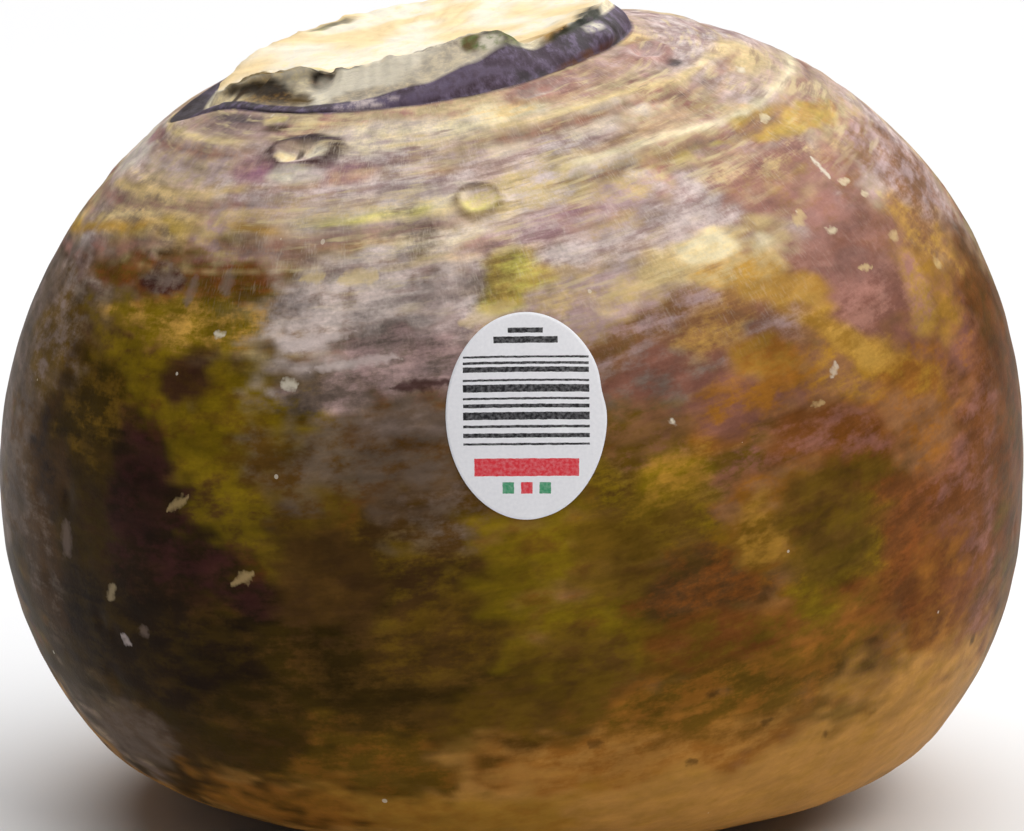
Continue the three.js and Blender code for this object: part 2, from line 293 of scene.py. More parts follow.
FRONT_PATCHES = [
    # the bottom, where the root lay shaded by the soil
    (30, 13, 50, 15, 3, "tan", "ochre", 0.4),
    (58, 24, 14, 14, 50, "tan", "ochre", 0.4),
    (14, 24, 22, 6, 0, "russet", "tan", 0.45),
    (-10, 12, 24, 6, 0, "ochre", "russet", 0.45),
    (-36, 12, 20, 6, -8, "russet", "bark", 0.45),
    (-56, 15, 14, 8, -20, "peat", "russet", 0.4),
    (-58, 18, 10, 8, -10, "dove", "sand", 0.4),
    # the dark left side: dark skin, painted darker still on the lower left as shade, away from the light
    (-50, 42, 34, 30, 0, "pine", "soot", 0.5),
    (-22, 31, 32, 13, 0, "pine", "peat", 0.4),
    (-19, 22, 15, 6, 0, "bark", "russet", 0.45),
    # grey down the left edge: painted sheen, the reflection at the grazing edge
    (-83, 56, 11, 34, 0, "loam", "dove", 0.4),
    (-70, 58, 7, 18, 0, "loam", "peat", 0.45),
    (-64, 54, 5, 8, 0, "peat", "loam", 0.5),
    (-66, 74, 9, 9, 0, "bark", "dove", 0.45),
    (-60, 58, 4, 12, 4, "umber", "soot", 0.45),
    (-49, 76, 10, 7, 0, "moss", "peat", 0.45),
    (-37, 78, 11, 4, 6, "moss", "mustard", 0.4),
    (-53, 65, 9, 6, 0, "pine", "bark", 0.45),
    (-34, 70, 11, 6, 0, "moss", "bark", 0.4),
    (-39, 72, 4.5, 3, 0, "plum", "umber", 0.35),
    (-28, 63, 13, 8, 0, "moss", "bark", 0.45),
    (-24, 57, 9, 6, 0, "olive", "peat", 0.5),
    (-44, 62, 6, 5, 0, "soot", "plum", 0.5),
    (-44, 56, 7, 5, 0, "plum", "soot", 0.5),
    (-37, 48, 12, 7, 10, "soot", "plum", 0.45),
    (-30, 54, 8, 5, -10, "moss", "peat", 0.45),
    (-24, 49, 6, 3.5, -10, "olive", "moss", 0.45),
    (-29, 43, 8, 3.4, 0, "soot", "plum", 0.5),
    (-21, 44.5, 5, 2.4, 0, "plum", "peat", 0.35),
    (-48, 34, 16, 10, 0, "soot", "pine", 0.4),
    (-42, 21, 8, 4, 0, "pine", "umber", 0.4),
    (-35, 35, 9, 5, 0, "soot", "pine", 0.45),
    (-31, 22, 8, 4, 0, "pine", "umber", 0.45),
    (-64, 40, 6, 9, 0, "umber", "loam", 0.3),
    # below and round the sticker
    (-14, 50, 14, 8, 0, "umber", "olive", 0.45),
    (-20, 44, 8, 5, 0, "pine", "umber", 0.5),
    (-8, 57, 8, 6, 0, "peat", "loam", 0.5),
    (-16, 65, 12, 9, 4, "loam", "peat", 0.5),
    (-11, 68, 8, 2, 0, "dove", "loam", 0.5),
    (-21, 71, 8, 3, 4, "dove", "moss", 0.5),
    (-10, 74, 9, 1.5, 4, "plum", "dove", 0.35),
    (4, 46, 12, 14, 0, "moss", "bark", 0.35),
    (12, 38, 9, 6, -10, "moss", "bark", 0.45),
    (3, 29, 12, 4, 0, "bark", "peat", 0.45),
    (-8, 38, 8, 5, 10, "peat", "bark", 0.45),
    # the right side
    (24, 31, 20, 6, 0, "bark", "russet", 0.5),
    (42, 62, 36, 24, 0, "clay", "russet", 0.45),
    (22, 79, 20, 9, 0, "clay", "mauve", 0.5),
    (34, 40, 14, 7, -6, "russet", "bark", 0.6),
    (20, 47, 11, 6, 5, "umber", "maroon", 0.5),
    (23, 39, 9, 4, 0, "maroon", "bark", 0.45),
    (46, 52, 15, 15, 0, "maroon", "rust", 0.35),
    (60, 58, 12, 28, 0, "maroon", "mulberry", 0.4),
    (74, 64, 12, 30, 0, "maroon", "peat", 0.45),
    (54, 40, 9, 8, 0, "russet", "maroon", 0.58),
    (36, 50, 9, 8, 10, "bark", "moss", 0.5),
    (35, 51.5, 6, 6, 0, "olive", "peat", 0.5),
    (27, 54, 5, 5, 0, "ochre", "bark", 0.4),
    (40, 61, 8, 4, -8, "bark", "maroon", 0.45),
    (36, 65, 11, 4, -6, "maroon", "mulberry", 0.45),
    (17, 64, 13, 7, -6, "bark", "mulberry", 0.45),
    (14, 57, 9, 6, 0, "bark", "moss", 0.45),
    (10, 61, 4, 5, 0, "peat", "moss", 0.4),
    (34, 58, 7, 4, 0, "bark", "peat", 0.45),
    (11, 50, 6, 5, 0, "bark", "peat", 0.35),
    (17, 61, 6, 3, 20, "moss", "ochre", 0.5),
    (14, 71, 12, 4, 4, "clay", "bark", 0.5),
    (24, 69, 8, 3, 10, "russet", "ochre", 0.45),
    (20, 76, 13, 4.4, 6, "mulberry", "dove", 0.45),
    (28, 72, 11, 4, 0, "mulberry", "russet", 0.5),
    (42, 73, 12, 4.5, -18, "clay", "ochre", 0.5),
    (26, 80, 9, 3, 6, "clay", "mustard", 0.45),
    (30, 75, 5, 2.4, -30, "ochre", "russet", 0.45),
    (51, 66, 9, 8, 0, "clay", "russet", 0.45),
    (57, 77, 9, 8, 0, "mulberry", "russet", 0.45),
    (60, 86, 12, 8, 0, "clay", "mustard", 0.5),
    (33, 96, 13, 4.5, 0, "rose", "mauve", 0.4),
    (43, 88, 13, 7, -10, "rose", "mulberry", 0.5),
    (47, 81, 8, 4, -16, "mulberry", "rose", 0.5),
    (58, 79, 6, 5, 0, "ochre", "clay", 0.45),
    (54, 80, 3, 6, -20, "mustard", "rose", 0.5),
    (-21, 48, 8, 6, 0, "peat", "umber", 0.45),
    (8, 36, 8, 5, 0, "bark", "peat", 0.4),
    # grey-brown at the lower left edge: the skin's own colour, with painted sheen
    (-53, 19, 9, 5, 0, "loam", "umber", 0.45),
    # the shoulder
    # pale lilac here is partly painted reflection of the soft light above
    (-17, 83, 17, 9, 0, "lilac", "dove", 0.33),
    (-12, 76, 14, 5, 0, "dove", "mauve", 0.55),
    (9, 104.5, 12, 3, 0, "lilac", "cream", 0.4),
    # darker just under the collar's left end: painted shade
    (-52, 102.5, 9, 3.5, 0, "mauve", "dove", 0.5),
    (-13, 94, 11, 4, 2, "lilac", "cream", 0.5),
    (10, 91, 22, 8, 6, "mauve", "lilac", 0.6),
    (2, 97, 16, 4, 4, "straw", "lilac", 0.5),
    (8, 83, 14, 5, 4, "honey", "mauve", 0.55),
    (14, 96, 8, 3, 6, "honey", "mauve", 0.5),
    (22, 88, 12, 4, 6, "honey", "straw", 0.45),
    (-1, 87, 5, 4, 20, "gold", "lime", 0.5),
    (34, 83, 7, 3, -30, "mustard", "ochre", 0.5),
    (42, 77, 9, 2.6, -36, "ochre", "mustard", 0.45),
    (50, 70, 8, 2.4, -24, "russet", "ochre", 0.45),
    (30, 86, 6, 2.6, -24, "honey", "mustard", 0.5),
    (26.5, 89.5, 5, 2.2, -14, "cream", "straw", 0.45),
    (-36, 92, 16, 5, 4, "honey", "mauve", 0.5),
    (-58, 92, 14, 6, 4, "dove", "honey", 0.5),
    (44, 99, 12, 4, -10, "rose", "honey", 0.35),
    (46, 104, 10, 3, -10, "rose", "mauve", 0.45),
    (70, 95, 10, 8, -30, "clay", "mauve", 0.5),
    (56, 104, 13, 3.6, -20, "gold", "mustard", 0.45),
    (43, 95, 12, 5, -8, "rose", "clay", 0.4),
    (-42, 79.5, 15, 3.4, 3, "moss", "mustard", 0.42),
    (-46, 84.5, 15, 4.2, 2, "bark", "maroon", 0.5),
    (-56, 84.5, 8, 3.5, 4, "bark", "maroon", 0.5),
    (-46, 83.5, 6, 2.5, 2, "dove", "plum", 0.55),
    (-34, 84, 4, 3.5, 2, "bark", "maroon", 0.5),
]
PATCH_STRENGTH = 0.88
# Height that a zone of the skin starts or ends at, and the height that it takes to come in full.
# the shoulder's paler colour, partly painted sheen of the light from above
SHOULDER_TINT_AND_SHEEN = (74.0, 22.0)
SHADED_FOOT = (30.0, 16.0)
TRIMMED_SPOT = (0.5, 0.4)  # the tap root's cut
LEVEL_WANDER = [(6.0, 16.0, 31), (2.0, 6.0, 32)]  # noise layers, as for the lip
LINE_WANDER = [(0.8, 9.0, 43), (0.3, 3.0, 44)]
PLAIN_SHARE = 0.45        # what the fleck takes where no patch says otherwise
GROWTH_RADIUS = 70.0      # the growth patterns are measured out on a round root of this radius
DRIFT_SIZE = 14.0         # marks are pushed this way and that in lumps of this size
DRIFT = (5.0, 5.0, 3.0)
RAGS = [(0.6, 5.0, 61), (0.5, 2.3, 64), (0.4, 1.2, 67)]  # torn edges: depth, size and noise seed
RAG_KINDS = 3
RAG_STREAK = (0.42, 0.42, 1.0)  # edges tear along the growth bands
RIDGE_SHADOW_OFF = 1.7          # the painted shadow along the groove outside each ridge
CREST_POWER = 6.0         # how much narrower a crest's colour is than the ridge

# Needles of dry wax and growth lines: full on the shoulder, faint below, thinner on the lower flanks.
WAX_FROM = (60.0, 34.0)   # height where they start, and the height that they take to come in full
WAX_LEAST = 0.1
WAX_ON_FLANKS = 0.62
FLANK_FROM = (26.0, 20.0)  # degrees to either side of the front
FLANK_UP_TO = (104.0, 10.0)
# Contrast of the mottling: half as much at the foot as above.
CONTRAST_FROM = (14.0, 28.0)
CONTRAST_LEAST = 0.5
# Where it differs: azimuth, height, half width, half height, more or less of it.
CONTRAST_SPOTS = [(-14, 84, 20, 12, 0.7), (48, 88, 22, 16, -0.25)]

# What the patches on the back are made of, below and on the shoulder.
BODY_PAIRS = [
    ("moss", "bark"), ("umber", "plum"), ("maroon", "clay"), ("bark", "moss"), ("mulberry", "dove"),
    ("peat", "loam"), ("russet", "ochre"), ("pine", "soot")]
SHOULDER_PAIRS = [("lilac", "dove"), ("honey", "mustard"), ("rose", "mulberry"), ("mauve", "sand")]
BACK_COUNT = 40
BACK_SEED = 3
BACK_AZIMUTHS = (106, 254)
BACK_HEIGHTS = (24, 100)
BACK_SHOULDER = 78        # height from which the shoulder's pairs are used

# Small scars, dents and specks, three of them painted highlights: azimuth, height, half length, half width,
# tilt, colour, strength.
SMALL_MARKS = [
    # scars and scuffs on the dark left side, and two painted highlights
    (-38, 55, 2.4, 0.6, 30, "honey", 0.4),
    (-29.5, 46, 2.2, 0.7, 25, "honey", 0.45),
    (-48, 41, 1.6, 0.8, 60, "sand", 0.4),
    (-47, 34, 1.2, 0.6, -40, "lilac", 0.5),
    (-44, 36.5, 1, 0.8, 0, "dove", 0.5),
    (-56, 47, 1.4, 2.6, 0, "dove", 0.5),
    # two painted highlights: glints on bumps
    (-35.5, 77.7, 1.2, 0.6, 0, "bone", 0.65),
    (-25, 72, 1.4, 0.7, -15, "bone", 0.6),
    (-42, 83, 1, 2.4, 0, "dove", 0.6),
    (-46.5, 84, 0.9, 2.2, 0, "dove", 0.55),
    (-36.5, 84.5, 1, 2, 0, "dove", 0.6),
    # pale and purple lines beside the sticker
    (-18, 75.2, 7, 0.7, 3, "lilac", 0.5),
    (-10, 73.2, 4.5, 0.8, -3, "plum", 0.8),
    (-22, 78, 5, 0.6, 6, "lilac", 0.45),
    # straw patches in the pale lilac patch
    (-19, 86, 3, 1.1, 0, "straw", 0.6),
    (-25, 85.5, 2, 0.8, 0, "straw", 0.55),
    (-3, 82, 4, 1.2, 10, "straw", 0.5),
    # the right side
    # a painted highlight: a glint on a bump
    (17, 68, 0.5, 0.5, 0, "bone", 0.8),
    (35, 68.5, 1.4, 0.4, 0, "honey", 0.45),
    (37.5, 73, 1.2, 0.5, 40, "bone", 0.45),
    (47, 104, 1.5, 0.7, 0, "cream", 0.6),
    (57, 110, 1.4, 0.7, 0, "bone", 0.6),
    (40, 92, 1.5, 0.9, 30, "straw", 0.6),
    (44.5, 90, 1.2, 0.6, -10, "cream", 0.6),
    (55, 94, 0.8, 0.6, 0, "cream", 0.55),
    (58, 93.5, 0.8, 0.7, 0, "straw", 0.55),
    (55, 88.5, 1.2, 0.8, 0, "straw", 0.5),
    (47, 85, 1.4, 0.5, -10, "straw", 0.6),
    (50, 98, 0.5, 2.3, -16, "bone", 0.75),
    (52.4, 95.6, 1.4, 0.6, -10, "cream", 0.6),
    (62, 84, 1, 0.8, 0, "straw", 0.45),
    # corky specks where the root stood
    (22, 30.5, 0.8, 0.8, 0, "umber", 0.7),
    (29, 26, 0.8, 0.6, 0, "peat", 0.7),
    (20.5, 21, 0.9, 0.7, 0, "umber", 0.6),
    (38, 22, 0.7, 0.7, 0, "umber", 0.6),
    (64, 30, 1, 0.9, 0, "umber", 0.75),
    (9, 24, 1.2, 0.8, 0, "peat", 0.6),
]

# Marks on and round the cut crown, by the zones that they stay inside: azimuth, ring, half length round
# the crown, half width across it, ground, fleck, the fleck's share, strength.
CROWN_MARKS = {
    "face": [
        (-48, 22.4, 5, 1.4, "primrose", "straw", 0.5, 0.8),
        (-74, 27, 6, 1.6, "straw", "ochre", 0.3, 0.8),
        (-21, 24, 3, 0.8, "moor", "umber", 0.3, 0.9),
        (2, 20, 9, 2.4, "amber", "flesh", 0.4, 0.6),
        (24, 17, 8, 2.6, "amber", "honey", 0.3, 0.6),
        (44, 23.4, 3, 1.8, "honey", "ochre", 0.4, 0.8),
        (150, 25.5, 6, 1.6, "umber", "ochre", 0.4, 0.8),
        (214, 26, 4, 1.4, "moor", "fern", 0.4, 0.8),
    ],
    "face bevel": [
        (-34, 23.6, 2.6, 1.9, "soot", "maroon", 0.3, 1),
        (6, 24, 5.5, 0.9, "dove", "bone", 0.5, 0.8),
        (31, 24.4, 3, 1.8, "moor", "fern", 0.5, 0.95),
        (48, 24.8, 2.6, 1.8, "ochre", "mustard", 0.4, 0.9),
        (66, 25.6, 7, 2, "moor", "slate", 0.3, 0.95),
    ],
    "bevel": [
        (-72, 29, 9, 5, "sand", "straw", 0.5, 0.7),
        (-2, 26, 15, 4, "flesh", "bone", 0.5, 0.85),
        # painted shade under the lip's overhang, darkest near the lip
        (-60, 26, 10, 1.7, "soot", "umber", 0.3, 0.95),
        # more painted shade from the overhang, in umber and ochre
        (-50, 27.2, 7, 1.1, "umber", "ochre", 0.4, 0.7),
        (-70, 29, 0.9, 2.4, "umber", "soot", 0.5, 0.9),
        (-40, 27.2, 2.4, 0.9, "bark", "pine", 0.4, 0.8),
        (-14, 27, 8, 0.8, "dove", "sand", 0.5, 0.6),
        (12, 25.8, 8, 2.2, "dove", "sand", 0.5, 0.45),
        (19, 25.3, 1.5, 1.3, "olive", "fern", 0.5, 0.9),
        (25, 25.4, 2, 1, "bone", "fern", 0.4, 0.8),
        (56, 26.6, 8, 1.4, "moor", "damson", 0.3, 0.95),
    ],
    "collar": [
        # painted shade on the steep end of the collar's tail
        (-94, 36, 9, 4, "slate", "soot", 0.5, 0.95),
        # painted lavender sheen along the collar
        (14, 28, 11, 1.3, "lavender_sheen", "damson", 0.5, 0.85),
        (30, 27.8, 7, 1.6, "damson", "lavender_sheen", 0.4, 0.9),
        (-14, 28.6, 5, 0.9, "lavender_sheen", "lilac", 0.5, 0.8),
        (48, 29.4, 9, 0.8, "maroon", "plum", 0.5, 0.7),
        (62, 28, 2.2, 1.2, "bone", "lavender_sheen", 0.5, 0.9),
        (70, 28.3, 1.2, 1.8, "soot", "damson", 0.3, 0.9),
    ],
    "skin": [
        (-94, 43, 10, 5, "bone", "lilac", 0.5, 0.75),
        (-88, 40.5, 3.4, 1.4, "orchid", "rose", 0.5, 0.8),
        (-58, 40, 12, 5, "sand", "mauve", 0.5, 0.7),
        (-28, 42, 9, 3, "orchid", "mauve", 0.4, 0.75),
        (-12, 48, 14, 3.4, "lilac", "sand", 0.5, 0.9),
        (-16, 42, 16, 4, "mauve", "lilac", 0.5, 0.7),
        (15, 35.5, 9, 2.6, "cream", "straw", 0.5, 0.85),
        (-60, 31.6, 7, 1.2, "slate", "damson", 0.4, 0.8),
        (-8, 35, 13, 3.4, "lilac", "cream", 0.5, 0.75),
        (-38, 40, 4, 2.2, "orchid", "rose", 0.5, 0.7),
        (-15, 41.5, 4, 2, "orchid", "rose", 0.5, 0.7),
        (-42, 31.6, 2, 0.9, "primrose", "straw", 0.5, 0.8),
        (-40, 33, 2.2, 0.7, "pine", "umber", 0.5, 0.8),
        (29, 31.6, 5, 2.2, "mauve", "rose", 0.4, 0.8),
        (45, 34, 9, 2.8, "rose", "mauve", 0.5, 0.6),
        (67, 33.8, 3.6, 2, "mauve", "rose", 0.4, 0.85),
        (74, 31, 4, 2.4, "honey", "ochre", 0.4, 0.8),
        (65, 38.8, 1.8, 1, "slate", "soot", 0.4, 0.9),
        (84, 44, 7, 4, "straw", "honey", 0.4, 0.8),
        (20, 40, 14, 2.6, "sand", "mauve", 0.45, 0.6),
        (40, 46, 10, 2.4, "rose", "sand", 0.45, 0.5),
        (14, 53, 12, 2.4, "orchid", "mauve", 0.45, 0.5),
        (128, 43.5, 3.6, 1.8, "straw", "bone", 0.5, 0.8),
        (186, 36, 3.6, 1.8, "primrose", "straw", 0.5, 0.8),
        (232, 45, 3, 1.6, "lime", "straw", 0.5, 0.8),
    ],
}

# Thin lines that follow the crown: ring at the start, azimuths of both ends, drift of the ring, half
# width, pigment, strength.
CROWN_LINES = [
    (33, -22, 22, 4.4, 0.55, "cream", 1),
    (34.6, -16, 12, 3, 0.5, "straw", 0.95),
    (36.6, -34, 10, 1.6, 0.45, "straw", 0.8),
    (31.4, -44, -4, 1.4, 0.4, "straw", 0.8),
    (38.2, -5, 9, 0.8, 0.4, "honey", 0.6),
    (37.2, 38, 66, 1.4, 0.4, "plum", 0.7),
    (47, -82, -36, -3.8, 0.5, "umber", 0.85),
    (45.2, -88, -56, -2, 0.5, "straw", 0.7),
    (51.4, -24, 4, 0.6, 0.6, "mustard", 0.65),
    # painted shadow just outside the mustard ridge on the left
    (59.6, -102, -36, -9.4, 0.9, "umber", 0.95),
    (56.8, -104, -36, -9, 1.2, "gold", 0.95),
    (54.6, -96, -44, -8, 0.6, "straw", 0.7),
    # painted shadow just outside the second mustard ridge
    (49.3, -47, -12, 3.8, 0.8, "bark", 0.85),
    (47.8, 14, 60, 3.6, 0.7, "lime", 0.9),
    (39, 6, 60, 3.2, 0.45, "mustard", 0.8),
    (43.6, 10, 64, 3, 0.5, "dove", 0.5),
    (52, 8, 40, 2, 0.4, "orchid", 0.5),
]
STRAY_LINES = 46          # more lines all round, fainter
STRAY_SEED = 5
STRAY_TONES = ["straw", "honey", "rose", "mauve", "plum", "lilac", "mustard"]

# What fills and edges the two clearest scars, laid out as the crown's marks are.
SCAR_CORES = [
    (-26.5, 35.2, 4.6, 0.8, "damson", "soot", 0.4, 0.95),
    (-27, 41.4, 3.8, 1.4, "bone", "lilac", 0.5, 0.85),
    (-30.5, 38, 1.5, 0.9, "cream", "straw", 0.5, 0.95),
    (-24, 37.6, 1.8, 0.9, "cream", "bone", 0.5, 0.95),
    (-27.6, 37.8, 0.5, 1.2, "soot", "plum", 0.5, 0.8),
    (7, 48.1, 2.5, 1.4, "primrose", "sand", 0.5, 0.9),
    (7, 46.2, 2.4, 0.4, "dove", "slate", 0.5, 0.8),
]

# The outline round each leaf scar, and how dark it is.
SCAR_OUTLINES = ["plum", "bark", "rose", "rose", "plum", "plum", "dove"]
SCAR_DEPTHS = [0.95, 0.8, 0.7, 0.6, 0.8, 0.8, 0.5]

# ---- Small helpers ----------------------------------------------------------------------------------

def linear(hex_colour):
    """sRGB hex to the linear colour that the shaders use."""
    out = []
    for i in (1, 3, 5):
        c = int(hex_colour[i:i + 2], 16) / 255
        out.append(c / 12.92 if c <= 0.04045 else ((c + 0.055) / 1.055) ** 2.4)
    return tuple(out)


def ease(t):
    t = np.clip(t, 0.0, 1.0)
    return t * t * (3.0 - 2.0 * t)


def mix(a, b, t):
    return a + (b - a) * t


def rounded_min(a, b, blend):
    """The smaller of two lengths, rounded over `blend` where they cross."""
    t = np.clip(0.5 + 0.5 * (b - a) / blend, 0.0, 1.0)
    return mix(b, a, t) - blend * t * (1.0 - t)


def turn(start, end):
    """Degrees from one azimuth on to another, between -180 and 180."""
    return (end - start + 540.0) % 360.0 - 180.0


def bell(distance, width):
    return np.exp(-((distance / width) ** 2))


def steps(count):
    """Shares of the way through `count` rows, ending at 1."""
    return [i / count for i in range(1, count + 1)]


def upright(radius, azimuth, height):
    """Points round an upright axis."""
    turned = np.radians(azimuth)
    return np.stack([radius * np.sin(turned), -radius * np.cos(turned), height + 0.0 * radius * turned], -1)


def lean(points, share=1.0):
    """Leans vectors with the crown, towards -X and then towards -Y."""
    side = math.radians(LEAN_SIDE) * share
    front = math.radians(LEAN_FRONT) * share
    x, y, z = points[..., 0], points[..., 1], points[..., 2]
    x, z = x * np.cos(side) - z * np.sin(side), x * np.sin(side) + z * np.cos(side)
    y, z = y * np.cos(front) - z * np.sin(front), y * np.sin(front) + z * np.cos(front)
    return np.stack([x, y, z], -1)


def cloud(points, size, seed):
    """Smooth noise from about -1 to 1, with lumps `size` mm apart."""
    shift = Vector((17.1 * seed, -9.3 * seed, 5.7 * seed))
    flat = (points / size).reshape(-1, 3).tolist()
    values = [noise.noise(Vector(p) + shift) for p in flat]
    return np.array(values).reshape(points.shape[:-1])


def clouds(points, layers):
    """Layers of noise on top of each other: the depth of each, the size of its lumps and its seed."""
    return sum(depth * cloud(points, size, seed) for depth, size, seed in layers)


# ---- Shape functions --------------------------------------------------------------------------------

def direction(polar, azimuth):
    """From the body's centre. The rows lean with the crown at the top and lie level at the base."""
    start = math.radians(UPRIGHT_FROM)
    hold = 1.0 - ease((polar - start) / (math.pi - start))
    return lean(upright(np.sin(polar), azimuth, np.cos(polar)), hold)


def undulation(out):
    """Slow swellings and hollows, from waves across the three directions."""
    x, y, z = out[..., 0], out[..., 1], out[..., 2]
    slow = np.sin(4.1 * x + 1.3 * y + 0.5) * np.sin(3.7 * z - 2.2 * y + 1.0)
    return slow + 0.5 * np.sin(7.3 * x - 5.1 * z + 2.0) * np.sin(6.1 * y + 4.0 * x)


def globe_radius(out, polar):
    """Distance from the body's centre to the smooth globe."""
    upper = out[..., 2] > 0
    power = np.where(upper, SHOULDER_POWER, BELLY_POWER)
    rise = np.where(upper, CROWN_RISE, BELLY_DROP)
    level = np.hypot(out[..., 0] / HALF_WIDTH, out[..., 1] / HALF_DEPTH)
    plain = (level ** power + (np.abs(out[..., 2]) / rise) ** power) ** (-1.0 / power)
    stand = 1.0 + SHOULDER_SET * out[..., 0] * np.maximum(out[..., 2], 0.0)
    sink = SINK_DEPTH * bell(polar, math.radians(SINK_SPREAD))
    return plain * stand - sink + LUMP_HEIGHT * undulation(out)


def settle_on_base(radius, out):
    """The belly settles into a shallow dome, and the tap root's cut takes its middle off flat."""
    drop = out[..., 2]
    dome_centre = DOME_RADIUS - WAIST_HEIGHT - ROOT_TRIM
    along = drop * dome_centre
    dome = along + np.sqrt(along ** 2 - dome_centre ** 2 + DOME_RADIUS ** 2)
    settled = rounded_min(radius, dome, DOME_EASE)
    flat = WAIST_HEIGHT / np.maximum(-drop, 1e-6)
    return np.where(drop < 0, np.minimum(settled, flat), settled)


def along_ring(ring, azimuth, line, inner, outer):
    """How much of a line round the crown covers each point, by its half widths on either side.

    `line` starts with the line's ring, the azimuths of its two ends and how far its ring drifts.
    """
    start_ring, start, end, drift = line[:4]
    span = end - start
    along = turn((start + end) / 2, azimuth) + span / 2
    off = ring - start_ring - drift * np.clip(along / span, 0.0, 1.0)
    fade = min(LINE_FADE, span / 2)
    across = bell(off, np.where(off < 0, inner, outer))
    return across * ease(along / fade) * ease((span - along) / fade)


def scar_reach(ring, azimuth, scar):
    """Distance from a leaf scar's middle, where 1 is its rim."""
    middle, scar_ring, length, width = scar[:4]
    along = np.radians(turn(middle, azimuth)) * scar_ring / (length / 2)
    return np.hypot(along, (ring - scar_ring) / (width / 2))


def skin_points(polar, azimuth):
    """Points on the globe's skin, about the body's centre."""
    out = direction(polar, azimuth)
    globe = globe_radius(out, polar)
    ring = globe * np.sin(polar)
    relief = np.zeros_like(globe)
    stray = cloud(out * globe[..., None], STRAY_SIZE, 8)
    flank, flank_width, worn = RIDGE_WORN
    height = RIDGE_HEIGHT * (1.0 - worn * bell(np.abs(turn(0.0, azimuth)) - flank, flank_width))
    for ridge in RIDGES:
        share = along_ring(ring + RIDGE_STRAY * stray, azimuth, ridge, RIDGE_INNER, RIDGE_OUTER)
        relief = np.maximum(relief, height * ridge[4] * share)
    for scar in LEAF_SCARS:
        reach = scar_reach(ring, azimuth, scar) + SCAR_STRAY * stray
        relief += scar[4] * bell(reach - 1.0, RIM_WIDTH) - scar[5] * bell(reach, DIMPLE_WIDTH)
    relief *= ease((ring - NECK_RADIUS) / RELIEF_START) * (polar < math.pi / 2)
    return out * settle_on_base(globe + relief, out)[..., None]


def neck_profile(azimuth):
    """The neck's lip radius, lip rise, bevel radius and bevel rise, eased between the rows."""
    blended = np.zeros((4, len(azimuth)))
    for here, after in zip(NECK_PROFILE, NECK_PROFILE[1:] + NECK_PROFILE[:1]):
        span = (after[0] - here[0]) % 360
        along = (azimuth - here[0]) % 360
        for i in range(4):
            value = mix(here[i + 1], after[i + 1], ease(along / span))
            blended[i] = np.where(along < span, value, blended[i])
    return blended


def crown_points(ring, height, azimuth):
    """Points given by their distance from the crown axis and their height along it."""
    return lean(upright(ring, azimuth, height))


def neck_foot_angle(azimuth, foot_radius):
    """Polar angles at which the skin is `foot_radius` from the crown axis, closing in pass by pass."""
    polar = np.zeros_like(azimuth)
    for _ in range(FOOT_PASSES):
        polar = np.arcsin(foot_radius / globe_radius(direction(polar, azimuth), polar))
    return polar


def build_rows():
    """Every row of the root from the crown's middle down, with each row's zone."""
    share = np.arange(SEGMENTS) / SEGMENTS
    azimuth = 360.0 * share - FRONT_CROWDING * np.sin(2 * math.pi * share)
    lip, lip_rise, bevel, bevel_rise = neck_profile(azimuth)
    tip = bell(turn(TIP[0], azimuth), TIP[1])
    lip = lip + TIP_REACH[0] * tip
    bevel = bevel + TIP_REACH[1] * tip
    foot_radius = NECK_RADIUS + TIP_REACH[2] * tip
    foot_angle = neck_foot_angle(azimuth, foot_radius)
    foot = foot_radius / np.tan(foot_angle)

    # the knife's marks and what has rotted or split since
    around = upright(LIP_RADIUS, azimuth, 0.0)
    hole = LIP_HOLE[2] * bell(turn(LIP_HOLE[0], azimuth), LIP_HOLE[1])
    lip = lip + clouds(around, LIP_RAG) - 0.9 * hole
    lip_rise = lip_rise + clouds(around, LIP_WAVE) - 0.7 * hole
    overhang = OVERHANG[2] * ease(1.4 - np.abs(turn(OVERHANG[0], azimuth)) / OVERHANG[1])
    cleft = CLEFT[2] * bell(turn(CLEFT[0], azimuth), CLEFT[1])
    bulge = COLLAR_BULGE + KNOB[2] * bell(turn(KNOB[0], azimuth), KNOB[1])
    lip_height = foot + lip_rise
    bevel_height = foot + bevel_rise

    rows = []
    for t in steps(FACE_ROWS):
        rows.append(crown_points(lip * t, mix(FACE_CENTRE, lip_height, t ** FACE_DISH), azimuth))
    for t in steps(BEVEL_ROWS):
        # each hollow is deepest a little below the lip
        hollow = (overhang * math.sin(math.pi * t ** 0.55) + cleft * math.sin(math.pi * t ** 0.7)
                  + 0.8 * hole * math.sin(math.pi * t ** 0.5))
        rows.append(crown_points(mix(lip, bevel, t) - hollow, mix(lip_height, bevel_height, t), azimuth))
    for t in steps(COLLAR_ROWS):
        radius = mix(bevel, foot_radius, t) + bulge * math.sin(math.pi * t)
        rows.append(crown_points(radius, mix(bevel_height, foot, t), azimuth))
    end, waist = math.radians(SHOULDER_END), math.radians(BODY_END)
    rows += [skin_points(mix(foot_angle, end, t), azimuth) for t in steps(SHOULDER_ROWS)]
    level = [mix(end, waist, t) for t in steps(BODY_ROWS)]
    level += [mix(waist, math.pi, t) for t in steps(BASE_ROWS)[:-1]]
    rows += [skin_points(np.full(SEGMENTS, polar), azimuth) for polar in level]
    zones = ["face"] * FACE_ROWS + ["bevel"] * BEVEL_ROWS + ["collar"] * COLLAR_ROWS
    zones += ["skin"] * (len(rows) - len(zones))
    return np.stack(rows), np.array(zones), azimuth


def outward(points):
    """Unit directions out of the skin, round each row and down each column."""
    round_row = np.roll(points, -1, 1) - np.roll(points, 1, 1)
    across = np.cross(np.gradient(points, axis=0), round_row)
    return across / np.linalg.norm(across, axis=-1, keepdims=True)


